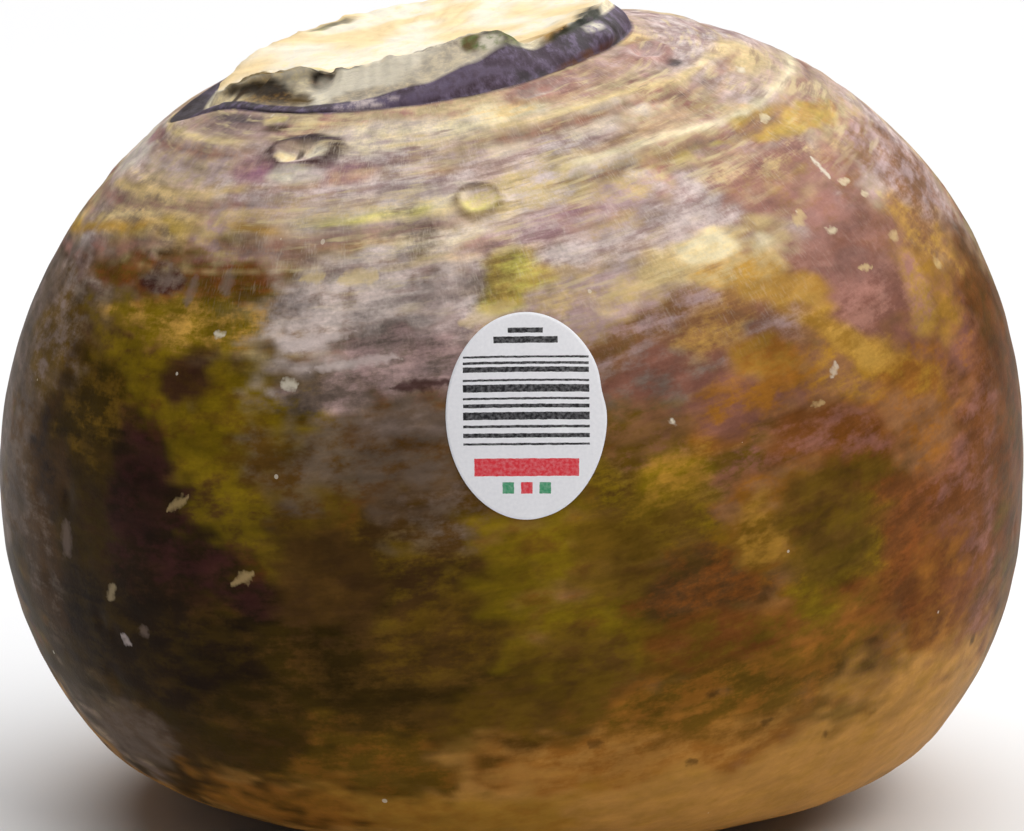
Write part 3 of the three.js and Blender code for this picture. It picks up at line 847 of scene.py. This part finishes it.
def fine_relief(survey):
    """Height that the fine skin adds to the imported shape."""
    points = survey.points
    skin = survey.zone == "skin"
    relief = np.zeros(skin.shape)
    for zone, height, size, flatness, seed in LUMPS:
        relief += height * cloud(points * (1, 1, flatness), size, seed) * (survey.zone == zone)
    relief *= ease(survey.ring / FACE_MIDDLE)
    at = np.stack([survey.ring / RINGLET_WIDTH, survey.azimuth / RINGLET_LENGTH, 0 * survey.ring], -1)
    shoulder = ease((RINGLET_END[0] - survey.ring) / RINGLET_END[1]) * (points[..., 2] > 0)
    relief += RINGLET_HEIGHT * cloud(at, 1.0, 53) * shoulder * skin
    chance = np.random.default_rng(PIT_SEED)
    rows = np.flatnonzero(survey.zones == "skin")[PIT_MARGIN:-PIT_MARGIN]
    for _ in range(PIT_COUNT):
        row = chance.choice(rows)
        column = chance.integers(SEGMENTS)
        off = np.linalg.norm(points - points[row, column], axis=-1)
        relief = relief - chance.uniform(*PIT_DEPTH) * bell(off, chance.uniform(*PIT_RADIUS)) * skin
    return relief * ease(survey.height / BASE_SMOOTH)


class RootSurvey:
    """The root's grid of points with what the marks need to know at each of them."""

    def __init__(self):
        self.points, self.zones, azimuth = build_rows()
        self.azimuth = np.broadcast_to(azimuth, self.points.shape[:2])
        self.zone = np.broadcast_to(self.zones[:, None], self.azimuth.shape)
        axis = crown_points(0.0, 1.0, 0.0)
        along = self.points @ axis
        self.ring = np.linalg.norm(self.points - along[..., None] * axis, axis=-1)
        self.height = self.points[..., 2] + WAIST_HEIGHT
        self.bearing = np.degrees(np.arctan2(self.points[..., 0], -self.points[..., 1]))
        self.normal = outward(self.points)
        self.points = self.points + self.normal * fine_relief(self)[..., None]
        # patterns grow round the crown and down from it; on the cut face they lie flat
        self.growth = GROWTH_RADIUS * upright(1.0, self.azimuth, np.arctan2(self.ring, self.points @ axis))
        self.growth_flat = upright(self.ring, self.azimuth, 0.0)
        drift = np.stack([cloud(self.points, DRIFT_SIZE, seed) for seed in (21, 22, 23)], -1)
        self.strayed = self.points + drift * DRIFT
        streaks = self.growth * RAG_STREAK
        self.ragged = [clouds(streaks, [(depth, size, seed + kind) for depth, size, seed in RAGS])
                       for kind in range(RAG_KINDS)]

    def nearest(self, azimuth, level, on_crown=False):
        """Row and column nearest a place, given by azimuth and height or, on the crown, by its ring."""
        if on_crown:
            across, up = turn(azimuth, self.azimuth), self.ring - level
            radius, there = level, self.points[..., 2] > 0
        else:
            across, up = turn(azimuth, self.bearing), self.height - level
            radius, there = HALF_WIDTH, self.zone == "skin"
        off = np.where(there, np.hypot(np.radians(across) * radius, up), 1e9)
        return np.unravel_index(np.argmin(off), off.shape)

    def oval(self, row, column, tilt):
        """The middle of a mark on the skin and its two directions along the skin, turned by `tilt`."""
        centre, out = self.points[row, column], self.normal[row, column]
        across = np.roll(self.points, -1, 1)[row, column] - centre
        across -= out * (across @ out)
        across /= np.linalg.norm(across)
        up = np.cross(out, across)
        turned = math.radians(tilt)
        along_u = across * math.cos(turned) + up * math.sin(turned)
        along_v = up * math.cos(turned) - across * math.sin(turned)
        return centre, along_u, along_v

    def spread(self, azimuth, level, half_across, half_along, tilt=0.0, soft=0.3, on_crown=False,
               rag=0.75):
        """How much of a mark covers each grid point: an oval on the skin with wandering, torn edges."""
        row, column = self.nearest(azimuth, level, on_crown)
        centre, along_u, along_v = self.oval(row, column, tilt)
        offset = mix(self.points, self.strayed, min(rag, 1.0)) - centre
        reach = np.hypot(offset @ along_u / half_across, offset @ along_v / half_along)
        reach = reach + rag * self.ragged[(row + column) % RAG_KINDS]
        facing = (self.normal @ self.normal[row, column]) > -0.2
        return ease((1.0 + soft - reach) / (2.0 * soft)) * facing


# ---- Painting ---------------------------------------------------------------------------------------

def tint(colour):
    """The linear colour of a pigment, by its name. A colour that is worked out already stays."""
    return np.array(linear(PIGMENTS[colour])) if isinstance(colour, str) else colour


def blend(first, second, share):
    return mix(tint(first), tint(second), share[..., None])


class Coat:
    """At each grid point: a ground colour, a fleck colour, and the share that the fleck takes."""

    def __init__(self, ground, fleck, share):
        self.ground, self.fleck, self.share = ground, fleck, share

    def lay(self, weight, ground, fleck, share=None, thin=1.0):
        """Lays two colours over what is there. The fleck's colour is laid `thin` times as thick."""
        self.ground = mix(self.ground, tint(ground), weight[..., None])
        self.fleck = mix(self.fleck, tint(fleck), thin * weight[..., None])
        if share is not None:
            self.share = mix(self.share, share, weight)


def back_patches():
    """Patches like those in front, scattered over the side that turns away."""
    chance = np.random.default_rng(BACK_SEED)
    for _ in range(BACK_COUNT):
        height = chance.uniform(*BACK_HEIGHTS)
        pairs = SHOULDER_PAIRS if height > BACK_SHOULDER else BODY_PAIRS
        first, second = pairs[chance.integers(len(pairs))]
        yield (chance.uniform(*BACK_AZIMUTHS), height, chance.uniform(7, 18), chance.uniform(3, 8),
               chance.uniform(-20, 20), first, second, PLAIN_SHARE)


def paint_skin(survey):
    """What the skin is like by height, then the patches all round it."""
    level = survey.height + clouds(survey.points, LEVEL_WANDER)
    patchy = ease(0.5 + 1.6 * cloud(survey.points * (1, 1, 1.6), 21.0, 33))
    coat = Coat(blend("peat", "olive", patchy), blend("olive", "maroon", patchy),
                np.full(survey.height.shape, PLAIN_SHARE))
    # the shoulder grows pale mauve and lilac: its own colour, and painted sheen of the light from above
    shoulder = ease((level - SHOULDER_TINT_AND_SHEEN[0]) / SHOULDER_TINT_AND_SHEEN[1])
    coat.lay(shoulder, blend("mauve", "sand", patchy), blend("lilac", "rose", patchy))
    coat.lay(ease((SHADED_FOOT[0] - level) / SHADED_FOOT[1]), "tan", "bark")
    coat.lay(ease((TRIMMED_SPOT[0] - survey.height) / TRIMMED_SPOT[1]), "sand", "peat")
    for azimuth, height, across, along, tilt, ground, fleck, share in [*back_patches(), *FRONT_PATCHES]:
        weight = PATCH_STRENGTH * survey.spread(azimuth, height, across, along, tilt)
        coat.lay(weight, ground, fleck, share)
    return coat


def lay_crown_marks(survey, coat, marks, inside, rag):
    for azimuth, ring, around, across, ground, fleck, share, strength in marks:
        weight = strength * survey.spread(azimuth, ring, around, across, 0.0, 0.35, True, rag)
        coat.lay(weight * inside, ground, fleck, share)


def stray_lines():
    """Fainter lines all round the crown, like those in front."""
    chance = np.random.default_rng(STRAY_SEED)
    for _ in range(STRAY_LINES):
        start = chance.uniform(0, 360)
        tone = chance.choice(STRAY_TONES)
        yield (chance.uniform(31, 63), start, start + chance.uniform(24, 80),
               chance.uniform(-3, 3), chance.uniform(0.3, 0.7), tone, chance.uniform(0.25, 0.6))


def paint_crown(survey, coat):
    """The cut flesh, the knife's bevel and the purple collar, then the marks and lines round them."""
    stain = ease(0.5 + 1.5 * cloud(survey.growth_flat, 7.0, 41))
    for zone, ground, fleck, share in (
            ("face", blend("flesh", "amber", stain), "amber", 0.3),
            ("bevel", blend("sand", "bone", 0.45 + 0.5 * stain), "cream", 0.45),
            # the collar's fleck is painted lavender sheen
            ("collar", blend("damson", "slate", stain), "lavender_sheen", 0.4)):
        coat.lay(1.0 * (survey.zone == zone), ground, fleck, share)
    for zones, marks in CROWN_MARKS.items():
        lay_crown_marks(survey, coat, marks, np.isin(survey.zone, zones.split()), 0.3)

    # growth lines and ridges waver, come and go, and stay on the skin
    wander = survey.ring + clouds(survey.points, LINE_WANDER)
    speckle = cloud(survey.points, 2.2, 42)
    broken = ease(0.6 + 1.6 * speckle)
    uneven = 0.45 + 0.9 * ease(0.5 + 1.3 * cloud(survey.points, 5.0, 45))
    skin = (survey.zone == "skin") * (survey.points[..., 2] > 0)
    for *line, half_width, tone, strength in [*CROWN_LINES, *stray_lines()]:
        width = half_width * uneven
        weight = strength * along_ring(wander, survey.azimuth, line, width, width)
        coat.lay(weight * skin * mix(1.0, broken, 0.75), tone, tone, thin=0.8)
    for ridge in RIDGES:
        width = 0.7 * uneven
        # a painted shadow just outside each ridge
        under = along_ring(wander - RIDGE_SHADOW_OFF, survey.azimuth, ridge, width, width)
        coat.lay(0.8 * under * skin, "rose", "dove")
        crest = along_ring(wander, survey.azimuth, ridge, RIDGE_INNER, RIDGE_OUTER) ** CREST_POWER
        coat.lay(crest * skin * mix(1.0, broken, 0.25), ridge[5], ridge[5], thin=0.8)
    for scar, tone, strength in zip(LEAF_SCARS, SCAR_OUTLINES, SCAR_DEPTHS):
        reach = scar_reach(wander, survey.azimuth, scar) + 0.25 * speckle
        coat.lay(strength * bell(reach - 1.2, 0.3) * skin, tone, tone, thin=0.8)
    lay_crown_marks(survey, coat, SCAR_CORES, skin, 0.25)


# ---- Mesh building ----------------------------------------------------------------------------------

def closed_mesh(name, rows, first, last):
    """A closed mesh from a stack of rings, with one point at each end. Points in metres."""
    row_count, around = rows.shape[:2]
    points = np.vstack([first[None], rows.reshape(-1, 3), last[None]])
    here = list(range(around))
    after = here[1:] + here[:1]
    bottom = len(points) - 1
    start = 1 + (row_count - 1) * around
    faces = [(0, 1 + i, 1 + j) for i, j in zip(here, after)]
    for row in range(row_count - 1):
        top = 1 + row * around
        faces += [(top + i, top + around + i, top + around + j, top + j) for i, j in zip(here, after)]
    faces += [(start + i, bottom, start + j) for i, j in zip(here, after)]
    mesh = bpy.data.meshes.new(name)
    mesh.from_pydata(points.tolist(), [], faces)
    mesh.update()
    mesh.shade_smooth()
    piece = bpy.data.objects.new(name, mesh)
    bpy.context.scene.collection.objects.link(piece)
    return piece


def keep_attribute(mesh, name, grid, first, last):
    """Stores a value, a vector or a colour for each point of a closed mesh."""
    width = 1 if grid.ndim == 2 else grid.shape[-1]
    parts = (np.reshape(part, (-1, width)) for part in (first, grid, last))
    attribute = mesh.attributes.new(name, "FLOAT" if width == 1 else "FLOAT_VECTOR", "POINT")
    attribute.data.foreach_set("value" if width == 1 else "vector",
                               np.vstack(list(parts)).astype(np.float32).ravel())


# ---- Materials --------------------------------------------------------------------------------------

def node(tree, kind, inputs=(), output=0, **settings):
    """Adds one node and gives back one of its outputs.

    `inputs` are values or other nodes' outputs, in the order of the node's sockets or by their names.
    A MapRange takes a value, the two levels that it is read between, and what they turn into.
    """
    made = tree.nodes.new("ShaderNode" + kind)
    for name, value in settings.items():
        setattr(made, name, value)
    for socket, value in inputs.items() if isinstance(inputs, dict) else enumerate(inputs):
        if isinstance(value, bpy.types.NodeSocket):
            tree.links.new(value, made.inputs[socket])
        else:
            made.inputs[socket].default_value = value
    return made.outputs[output] if made.outputs else None


def new_material(name):
    material = bpy.data.materials.new(name)
    material.use_nodes = True
    material.node_tree.nodes.clear()
    return material, material.node_tree


def rgba(hex_colour):
    return (*linear(hex_colour), 1.0)


def stored(tree, name, output="Vector"):
    """What the mesh stores under a name at each of its points."""
    return node(tree, "Attribute", output=output, attribute_name=name)


def lumps(tree, at, width, height, detail, roughness):
    """Noise with lumps `width` mm round the root and `height` mm down it."""
    scaled = node(tree, "VectorMath", (at, (1 / width, 1 / width, 1 / height)), operation="MULTIPLY")
    return node(tree, "TexNoise", {
        "Vector": scaled, "Scale": 1.0, "Detail": detail, "Roughness": roughness})


def wandering(tree, at, scale, detail, reach):
    """A place, moved to and fro by noise, so that what is drawn there gets an uneven edge."""
    aside = node(tree, "TexNoise", {"Vector": at, "Scale": scale, "Detail": detail}, "Color")
    aside = node(tree, "VectorMath", (aside, (0.5, 0.5, 0.5)), operation="SUBTRACT")
    return node(tree, "VectorMath", (aside, (reach, reach, reach), at), operation="MULTIPLY_ADD")


def waxed_rutabaga_rind(survey):
    """Rutabaga rind: thin corky skin, stained by soil and light while it grew, dipped in clear food wax.

    The stains are torn patches of purple, brown, moss green and tan, and they come from the mesh. Painted
    shade and sheen are mixed into them: shade on the lower left, under the collar's left end and outside
    the ridges, sheen on the shoulder and down the left edge. The wax has soaked in and dried thin: it
    makes the colours deep and leaves a dull, even sheen with hardly a highlight; the few glints on bumps
    are painted highlights. Near by, the eye gets cork grain, growth bands that run round the root, paler
    growth lines and needles of dried wax on the shoulder, and a few pale pores.
    """
    material, tree = new_material("waxed_rutabaga_rind")
    growth = stored(tree, "growth")
    hairs = stored(tree, "hairs", "Fac")
    blotch = lumps(tree, growth, 5.0, 2.6, 4.0, 0.63)     # cork and pigment blotches, 3 to 5 mm
    band = lumps(tree, growth, 9.0, 1.4, 4.0, 0.61)       # growth bands, 1.4 mm apart
    stain = lumps(tree, growth, 9.0, 5.0, 4.0, 0.63)      # darker stains, 5 to 9 mm
    grain = lumps(tree, growth, 0.7, 0.5, 3.0, 0.7)       # cork cells are 0.05 mm: drawn ten times coarser
    hair = lumps(tree, growth, 0.4, 1.1, 1.0, 0.55)       # needles of dry wax are 0.1 mm: drawn coarser
    tuft = lumps(tree, growth, 4.0, 4.0, 1.0, 0.55)       # where the needles gather
    wisp = lumps(tree, growth, 11.0, 1.0, 4.0, 0.58)      # growth lines, 1 mm, where leaves once sat
    some = lumps(tree, growth, 12.0, 6.0, 1.0, 0.55)      # they come and go over 12 mm

    # the fleck colour breaks through the ground colour in blotches, and higher up in bands
    upper = node(tree, "MapRange", (hairs, 0.0, 1.0, 0.15, 0.5))
    mottle = node(tree, "Mix", {"Factor": upper, 2: blotch, 3: band})
    pushed = node(tree, "MapRange", (stored(tree, "cover", "Fac"), 0.0, 1.0, -0.22, 0.22))
    raised = node(tree, "Math", (mottle, pushed), operation="ADD")
    torn = node(tree, "Math", (grain, 0.14, raised), operation="MULTIPLY_ADD")
    flecked = node(tree, "MapRange", (torn, 0.46, 0.68), interpolation_type="SMOOTHSTEP")
    skin = node(tree, "MixRGB", (flecked, stored(tree, "ground"), stored(tree, "fleck")))

    # stains, grain and bands darken and lighten it, least at the foot
    shade = node(tree, "MapRange", (stain, 0.36, 0.62, 0.74, 1.2))
    for pattern, low, high, darkest, lightest in ((grain, 0.3, 0.7, 0.92, 1.08),
                                                  (band, 0.36, 0.64, 0.87, 1.13)):
        part = node(tree, "MapRange", (pattern, low, high, darkest, lightest))
        shade = node(tree, "Math", (shade, part), operation="MULTIPLY")
    lively = stored(tree, "lively", "Fac")
    shade = node(tree, "Mix", {"Factor": lively, 2: 1.0, 3: shade}, clamp_factor=False)
    skin = node(tree, "VectorMath", {0: skin, "Scale": shade}, operation="SCALE")

    # Needles of dry wax, then pale and dark growth lines. For each: its pattern, two levels of that and
    # how thick it lies at them, what it gathers by, the least between, where it starts, and its colour.
    for pattern, low, high, at_low, at_high, groups, least, start, colour in (
            (hair, 0.5, 0.72, 0.0, 0.22, tuft, 0.15, 0.45, "#e8dccc"),
            (wisp, 0.53, 0.66, 0.0, 0.62, some, 0.1, 0.6, "#decc9c"),
            (wisp, 0.34, 0.46, 0.5, 0.0, some, 0.1, 0.6, "#7c5c58")):
        upward = node(tree, "MapRange", (hairs, start, 1.0, 0.0, 1.0))
        grouped = node(tree, "MapRange", (groups, 0.42, 0.6, least, 1.0))
        thick = node(tree, "MapRange", (pattern, low, high, at_low, at_high))
        for share in (upward, grouped):
            thick = node(tree, "Math", (thick, share), operation="MULTIPLY")
        skin = node(tree, "MixRGB", (thick, skin, rgba(colour)))

    # pale pores up to 1 mm across, in a third of cells 7 mm wide
    cells = node(tree, "VectorMath", (growth, (1 / 7, 1 / 7, 1 / 7)), operation="MULTIPLY")
    pores = node(tree, "TexVoronoi", {"Vector": cells, "Scale": 1.0}).node
    chosen = node(tree, "SeparateXYZ", (pores.outputs["Color"],))
    radius = node(tree, "MapRange", (chosen, 0.62, 1.0, 0.0, 0.075))
    pore = node(tree, "Math", (pores.outputs["Distance"], radius), operation="LESS_THAN")
    pore = node(tree, "Math", (pore, 0.5), operation="MULTIPLY")
    skin = node(tree, "MixRGB", (pore, skin, rgba("#e6dcc8")))

    # small scars and specks, and a few painted highlights: ovals given by their two focus points, with a
    # wandering edge
    place = wandering(tree, stored(tree, "place"), 0.9, 2.0, 1.6)
    for azimuth, height, across, along, tilt, tone, strength in SMALL_MARKS:
        centre, along_u, along_v = survey.oval(*survey.nearest(azimuth, height), tilt)
        longer, shorter = max(across, along), min(across, along)
        focus = (along_u if across >= along else along_v) * math.sqrt(longer ** 2 - shorter ** 2)
        far = [node(tree, "VectorMath", (place, centre + side * focus), "Value", operation="DISTANCE")
               for side in (-1, 1)]
        reach = node(tree, "Math", far, operation="ADD")
        share = node(tree, "MapRange", (
            reach, 2 * math.sqrt(longer ** 2 - 0.9 * shorter ** 2),
            2 * math.sqrt(longer ** 2 + 0.8 * shorter ** 2), strength, 0.0))
        skin = node(tree, "MixRGB", (share, skin, rgba(PIGMENTS[tone])))

    bump = node(tree, "Bump", {"Height": grain, "Strength": 0.5, "Distance": 0.0001})
    shader = node(tree, "BsdfPrincipled", {
        "Base Color": skin, "Roughness": 0.45, "IOR": 1.45, "Specular IOR Level": 0.035,
        "Normal": bump})
    node(tree, "OutputMaterial", (shader,))
    return material


def cut_tissue(name, coordinates, width, height, contrast, roughness, specular):
    """Root tissue that a knife opened: two tones torn into each other over fibres `width` by `height` mm.

    It was wet when it was cut and has dried since, so the eye gets a chalky surface, paler than the skin,
    with a soft and broken shine.
    """
    material, tree = new_material(name)
    fibre = lumps(tree, stored(tree, coordinates), width, height, 5.0, 0.62)
    pushed = node(tree, "MapRange", (stored(tree, "cover", "Fac"), 0.0, 1.0, -0.25, 0.25))
    raised = node(tree, "Math", (fibre, pushed), operation="ADD")
    flecked = node(tree, "MapRange", (raised, 0.36, 0.66), interpolation_type="SMOOTHSTEP")
    tone = node(tree, "MixRGB", (flecked, stored(tree, "ground"), stored(tree, "fleck")))
    swing = node(tree, "MapRange", (fibre, 0.3, 0.7, 1 - contrast, 1 + contrast))
    shade = node(tree, "VectorMath", {0: tone, "Scale": swing}, operation="SCALE")
    bump = node(tree, "Bump", {"Height": fibre, "Strength": 0.6, "Distance": 0.0003})
    shader = node(tree, "BsdfPrincipled", {
        "Base Color": shade, "Roughness": roughness, "IOR": 1.45, "Specular IOR Level": specular,
        "Normal": bump})
    node(tree, "OutputMaterial", (shader,))
    return material


def printed_label_film():
    """White polypropylene label film, rolled smooth and printed with flat inks.

    The face has a satin shine that the eye sees as an even, slightly grey white. The inks sit on it a
    little thin and speckled, and their edges wander where they crept along the film's grain.
    """
    material, tree = new_material("printed_label_film")
    label = stored(tree, "label")
    place = wandering(tree, label, 1.6, 3.0, INK_SPREAD)      # the ink crept in lumps of 0.6 mm
    apart = node(tree, "SeparateXYZ", (place,)).node
    grain = node(tree, "TexNoise", {"Vector": label, "Scale": 2.2, "Detail": 4.0})    # 0.45 mm
    density = node(tree, "MapRange", (grain, 0.3, 0.6, 0.82, 1.0))
    tone = node(tree, "MixRGB", (grain, rgba("#dfe0e6"), rgba("#f2f2f6")))

    # the bars: a stepped ramp up the label
    level = node(tree, "MapRange", (apart.outputs["Y"], -PRINT_HALF, PRINT_HALF))
    bar = node(tree, "ValToRGB", (level,))
    ramp = bar.node.color_ramp
    ramp.interpolation = "CONSTANT"
    ramp.elements[0].color = (0, 0, 0, 1)
    ramp.elements.remove(ramp.elements[1])
    for foot, thickness in BARS:
        for edge, value in ((foot, 1.0), (foot + thickness, 0.0)):
            ramp.elements.new((edge + PRINT_HALF) / (2 * PRINT_HALF)).color = (value, value, value, 1)
    off_middle = node(tree, "Math", (apart.outputs["X"],), operation="ABSOLUTE")
    inside = node(tree, "Math", (off_middle, BAR_EDGE), operation="LESS_THAN")
    masks = [(node(tree, "Math", (inside, bar), operation="MULTIPLY"), "black")]
    for middle_x, middle_y, width, height, ink in PRINT_BLOCKS:
        off = node(tree, "VectorMath", (place, (middle_x, middle_y, 0)), operation="SUBTRACT")
        share = node(tree, "VectorMath", (off, (2 / width, 2 / height, 0)), operation="MULTIPLY")
        share = node(tree, "VectorMath", (share,), operation="ABSOLUTE")
        sides = node(tree, "SeparateXYZ", (share,)).node.outputs
        widest = node(tree, "Math", (sides["X"], sides["Y"]), operation="MAXIMUM")
        masks.append((node(tree, "Math", (widest, 1.0), operation="LESS_THAN"), ink))
    for mask, ink in masks:
        inked = node(tree, "Math", (mask, density), operation="MULTIPLY")
        tone = node(tree, "MixRGB", (inked, tone, rgba(INKS[ink])))

    shader = node(tree, "BsdfPrincipled", {
        "Base Color": tone, "Roughness": 0.38, "IOR": 1.49, "Specular IOR Level": 0.35})
    node(tree, "OutputMaterial", (shader,))
    return material


def matt_background_paper():
    """Rolled background paper: matt fibres, so the eye gets an even white with faint clouds 0.8 m wide."""
    material, tree = new_material("matt_background_paper")
    place = node(tree, "TexCoord", output="Object")
    cloudy = node(tree, "TexNoise", {"Vector": place, "Scale": 1.2, "Detail": 2.0})
    tone = node(tree, "MixRGB", (cloudy, rgba("#e8e8e9"), rgba("#ebebeb")))
    shader = node(tree, "BsdfPrincipled", {
        "Base Color": tone, "Roughness": 0.9, "Specular IOR Level": 0.1})
    node(tree, "OutputMaterial", (shader,))
    return material


# ---- The root ---------------------------------------------------------------------------------------

def seat_on_frame(points):
    """Moves points in mm, about the body's centre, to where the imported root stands, in metres."""
    low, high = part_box("rutabaga_root")
    across = points[..., :2].reshape(-1, 2)
    middle = (across.min(0) + across.max(0)) / 2
    centre = np.array([(low.x + high.x) / 2, (low.y + high.y) / 2])
    return points * MM + np.array([*(centre - middle * MM), low.z + WAIST_HEIGHT * MM])


survey = RootSurvey()
coat = paint_skin(survey)
paint_crown(survey, coat)

hairs = mix(WAX_LEAST, 1.0, ease((survey.height - WAX_FROM[0]) / WAX_FROM[1]))
flank = ease((np.abs(survey.bearing) - FLANK_FROM[0]) / FLANK_FROM[1])
flank = flank * ease((FLANK_UP_TO[0] - survey.height) / FLANK_UP_TO[1])
hairs *= mix(1.0, WAX_ON_FLANKS, flank)
lively = mix(CONTRAST_LEAST, 1.0, ease((survey.height - CONTRAST_FROM[0]) / CONTRAST_FROM[1]))
coat.fleck = mix(coat.ground, coat.fleck, lively[..., None])
for *spot, change in CONTRAST_SPOTS:
    lively = lively + change * survey.spread(*spot)

face_middle = crown_points(0.0, FACE_CENTRE, 0.0)
base_middle = np.array([0.0, 0.0, -WAIST_HEIGHT])
seated = seat_on_frame(np.vstack([face_middle[None], survey.points.reshape(-1, 3), base_middle[None]]))
root = closed_mesh("rutabaga_waxed_root", seated[1:-1].reshape(survey.points.shape), seated[0],
                   seated[-1])
for name, grid in (("ground", coat.ground), ("fleck", coat.fleck), ("cover", coat.share),
                   ("growth", survey.growth), ("flat", survey.growth_flat), ("place", survey.points),
                   ("hairs", hairs), ("lively", lively)):
    keep_attribute(root.data, name, grid, grid[0].mean(0), grid[-1].mean(0))

for material in (cut_tissue("cut_root_flesh", "flat", 3.0, 3.0, 0.12, 0.55, 0.3),
                 cut_tissue("knife_cut_rind", "growth", 5.0, 0.8, 0.14, 0.6, 0.2),
                 cut_tissue("purple_collar_rind", "growth", 4.0, 1.6, 0.14, 0.5, 0.2),
                 waxed_rutabaga_rind(survey)):
    root.data.materials.append(material)
bands = [("face", "bevel", "collar", "skin").index(zone) for zone in (*survey.zones, "skin")]
root.data.polygons.foreach_set("material_index", np.repeat(bands, SEGMENTS).astype(np.int32))
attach(root, "root")
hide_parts("rutabaga_root")

# ---- The sticker, laid on the finished skin -----------------------------------------------------------

def make_sticker():
    """Each point of a flat oval is carried in to the skin from the front."""
    low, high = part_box("produce_sticker")
    middle = (low + high) / 2 - Vector((FILM_ASIDE * MM, 0, 0))
    core = Vector((seated[:, 0].min() + seated[:, 0].max(), seated[:, 1].min() + seated[:, 1].max(), 0)) / 2
    core.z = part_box("rutabaga_root")[0].z + WAIST_HEIGHT * MM
    out = (middle - core).normalized()
    azimuth = math.radians(STICKER_AZIMUTH)
    across = Vector((math.cos(azimuth), math.sin(azimuth), 0))
    up = out.cross(across).normalized()
    tree = BVHTree.FromPolygons([Vector(p) for p in seated.tolist()],
                                [tuple(p.vertices) for p in root.data.polygons])
    angles = np.arange(FILM_SEGMENTS) * 2 * math.pi / FILM_SEGMENTS
    nick = 1.0 - NICK[2] * bell(turn(NICK[0], np.degrees(angles)), NICK[1])
    spots = [(share * kink * STICKER_WIDTH / 2 * math.cos(angle),
              share * kink * STICKER_HEIGHT / 2 * math.sin(angle), share)
             for share in steps(FILM_RINGS) for angle, kink in zip(angles, nick)]
    spots.append((0.0, 0.0, 0.0))
    face, back = [], []
    for x, y, share in spots:
        ray = (middle + across * x * MM + up * y * MM - core).normalized()
        hit = tree.ray_cast(core + ray * RAY_START, -ray)[0]
        uneven = 0.6 + 0.4 * math.sin(5 * x / STICKER_WIDTH + 1)
        lift = FILM_OFF + EDGE_LIFT * max(share - RIM_FROM, 0) / (1 - RIM_FROM) * uneven
        back.append(hit + ray * lift * MM)
        face.append(hit + ray * (lift + FILM_THICKNESS) * MM)
    shape = (FILM_RINGS, FILM_SEGMENTS, 3)
    rings = np.vstack([np.array(face[:-1]).reshape(shape), np.array(back[:-1]).reshape(shape)[::-1]])
    film = closed_mesh("oval_label_film", rings, np.array(face[-1]), np.array(back[-1]))
    label = np.array(spots[:-1]).reshape(shape) * (1, 1, 0)
    blank = np.zeros(shape) + (0, NO_PRINT, 0)
    keep_attribute(film.data, "label", np.vstack([label, blank]), (0, 0, 0), (0, NO_PRINT, 0))
    film.data.materials.append(printed_label_film())
    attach(film, "root")
    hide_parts("produce_sticker")


make_sticker()

# ---- Studio -----------------------------------------------------------------------------------------

scene = bpy.context.scene
scene.view_settings.view_transform = "Standard"
scene.view_settings.look = "None"


def add_aimed(data, place, towards):
    """Adds a camera or a lamp at a place, looking in a direction."""
    thing = bpy.data.objects.new(data.name, data)
    scene.collection.objects.link(thing)
    thing.location = place
    thing.rotation_mode = "QUATERNION"
    thing.rotation_quaternion = towards.to_track_quat("-Z", "Y")
    return thing


low, high = cad_box
size = high - low
camera_data = bpy.data.cameras.new("camera")
camera_data.lens = LENS
camera_data.sensor_width = 36
aim = Vector(((low.x + high.x) / 2, (low.y + high.y) / 2, low.z + AIM_HEIGHT * size.z))
elevation = math.radians(CAMERA_ELEVATION)
back = Vector((0, -math.cos(elevation), math.sin(elevation)))
scene.camera = add_aimed(camera_data, aim + back * (CAMERA_DISTANCE * size.x), -back)

floor_mesh = bpy.data.meshes.new("floor")
floor_mesh.from_pydata([(-4, -3, 0), (4, -3, 0), (4, 4, 0), (-4, 4, 0)], [], [(0, 1, 2, 3)])
floor = bpy.data.objects.new("floor", floor_mesh)
scene.collection.objects.link(floor)
floor.data.materials.append(matt_background_paper())
floor.location.z = low.z

world = bpy.data.worlds.new("studio")
scene.world = world
world.use_nodes = True
backdrop = world.node_tree.nodes["Background"].inputs
backdrop["Color"].default_value = rgba("#eef0f8")
backdrop["Strength"].default_value = 0.12

# a wide white silk overhead gives the soft light, and a small warm lamp in front lifts the near side
silk = bpy.data.lights.new("overhead_silk", "SUN")
silk.energy = 3.75
silk.angle = math.radians(95)
add_aimed(silk, (0, 0, 0), Vector((-0.25, -0.3, -1.0)))
key = bpy.data.lights.new("front_key", "AREA")
key.shape = "SQUARE"
key.size = 0.5
key.energy = 3.5
key.color = linear("#fff6ea")
key_place = Vector((0.55, -0.9, 0.95))
add_aimed(key, key_place, aim - key_place)
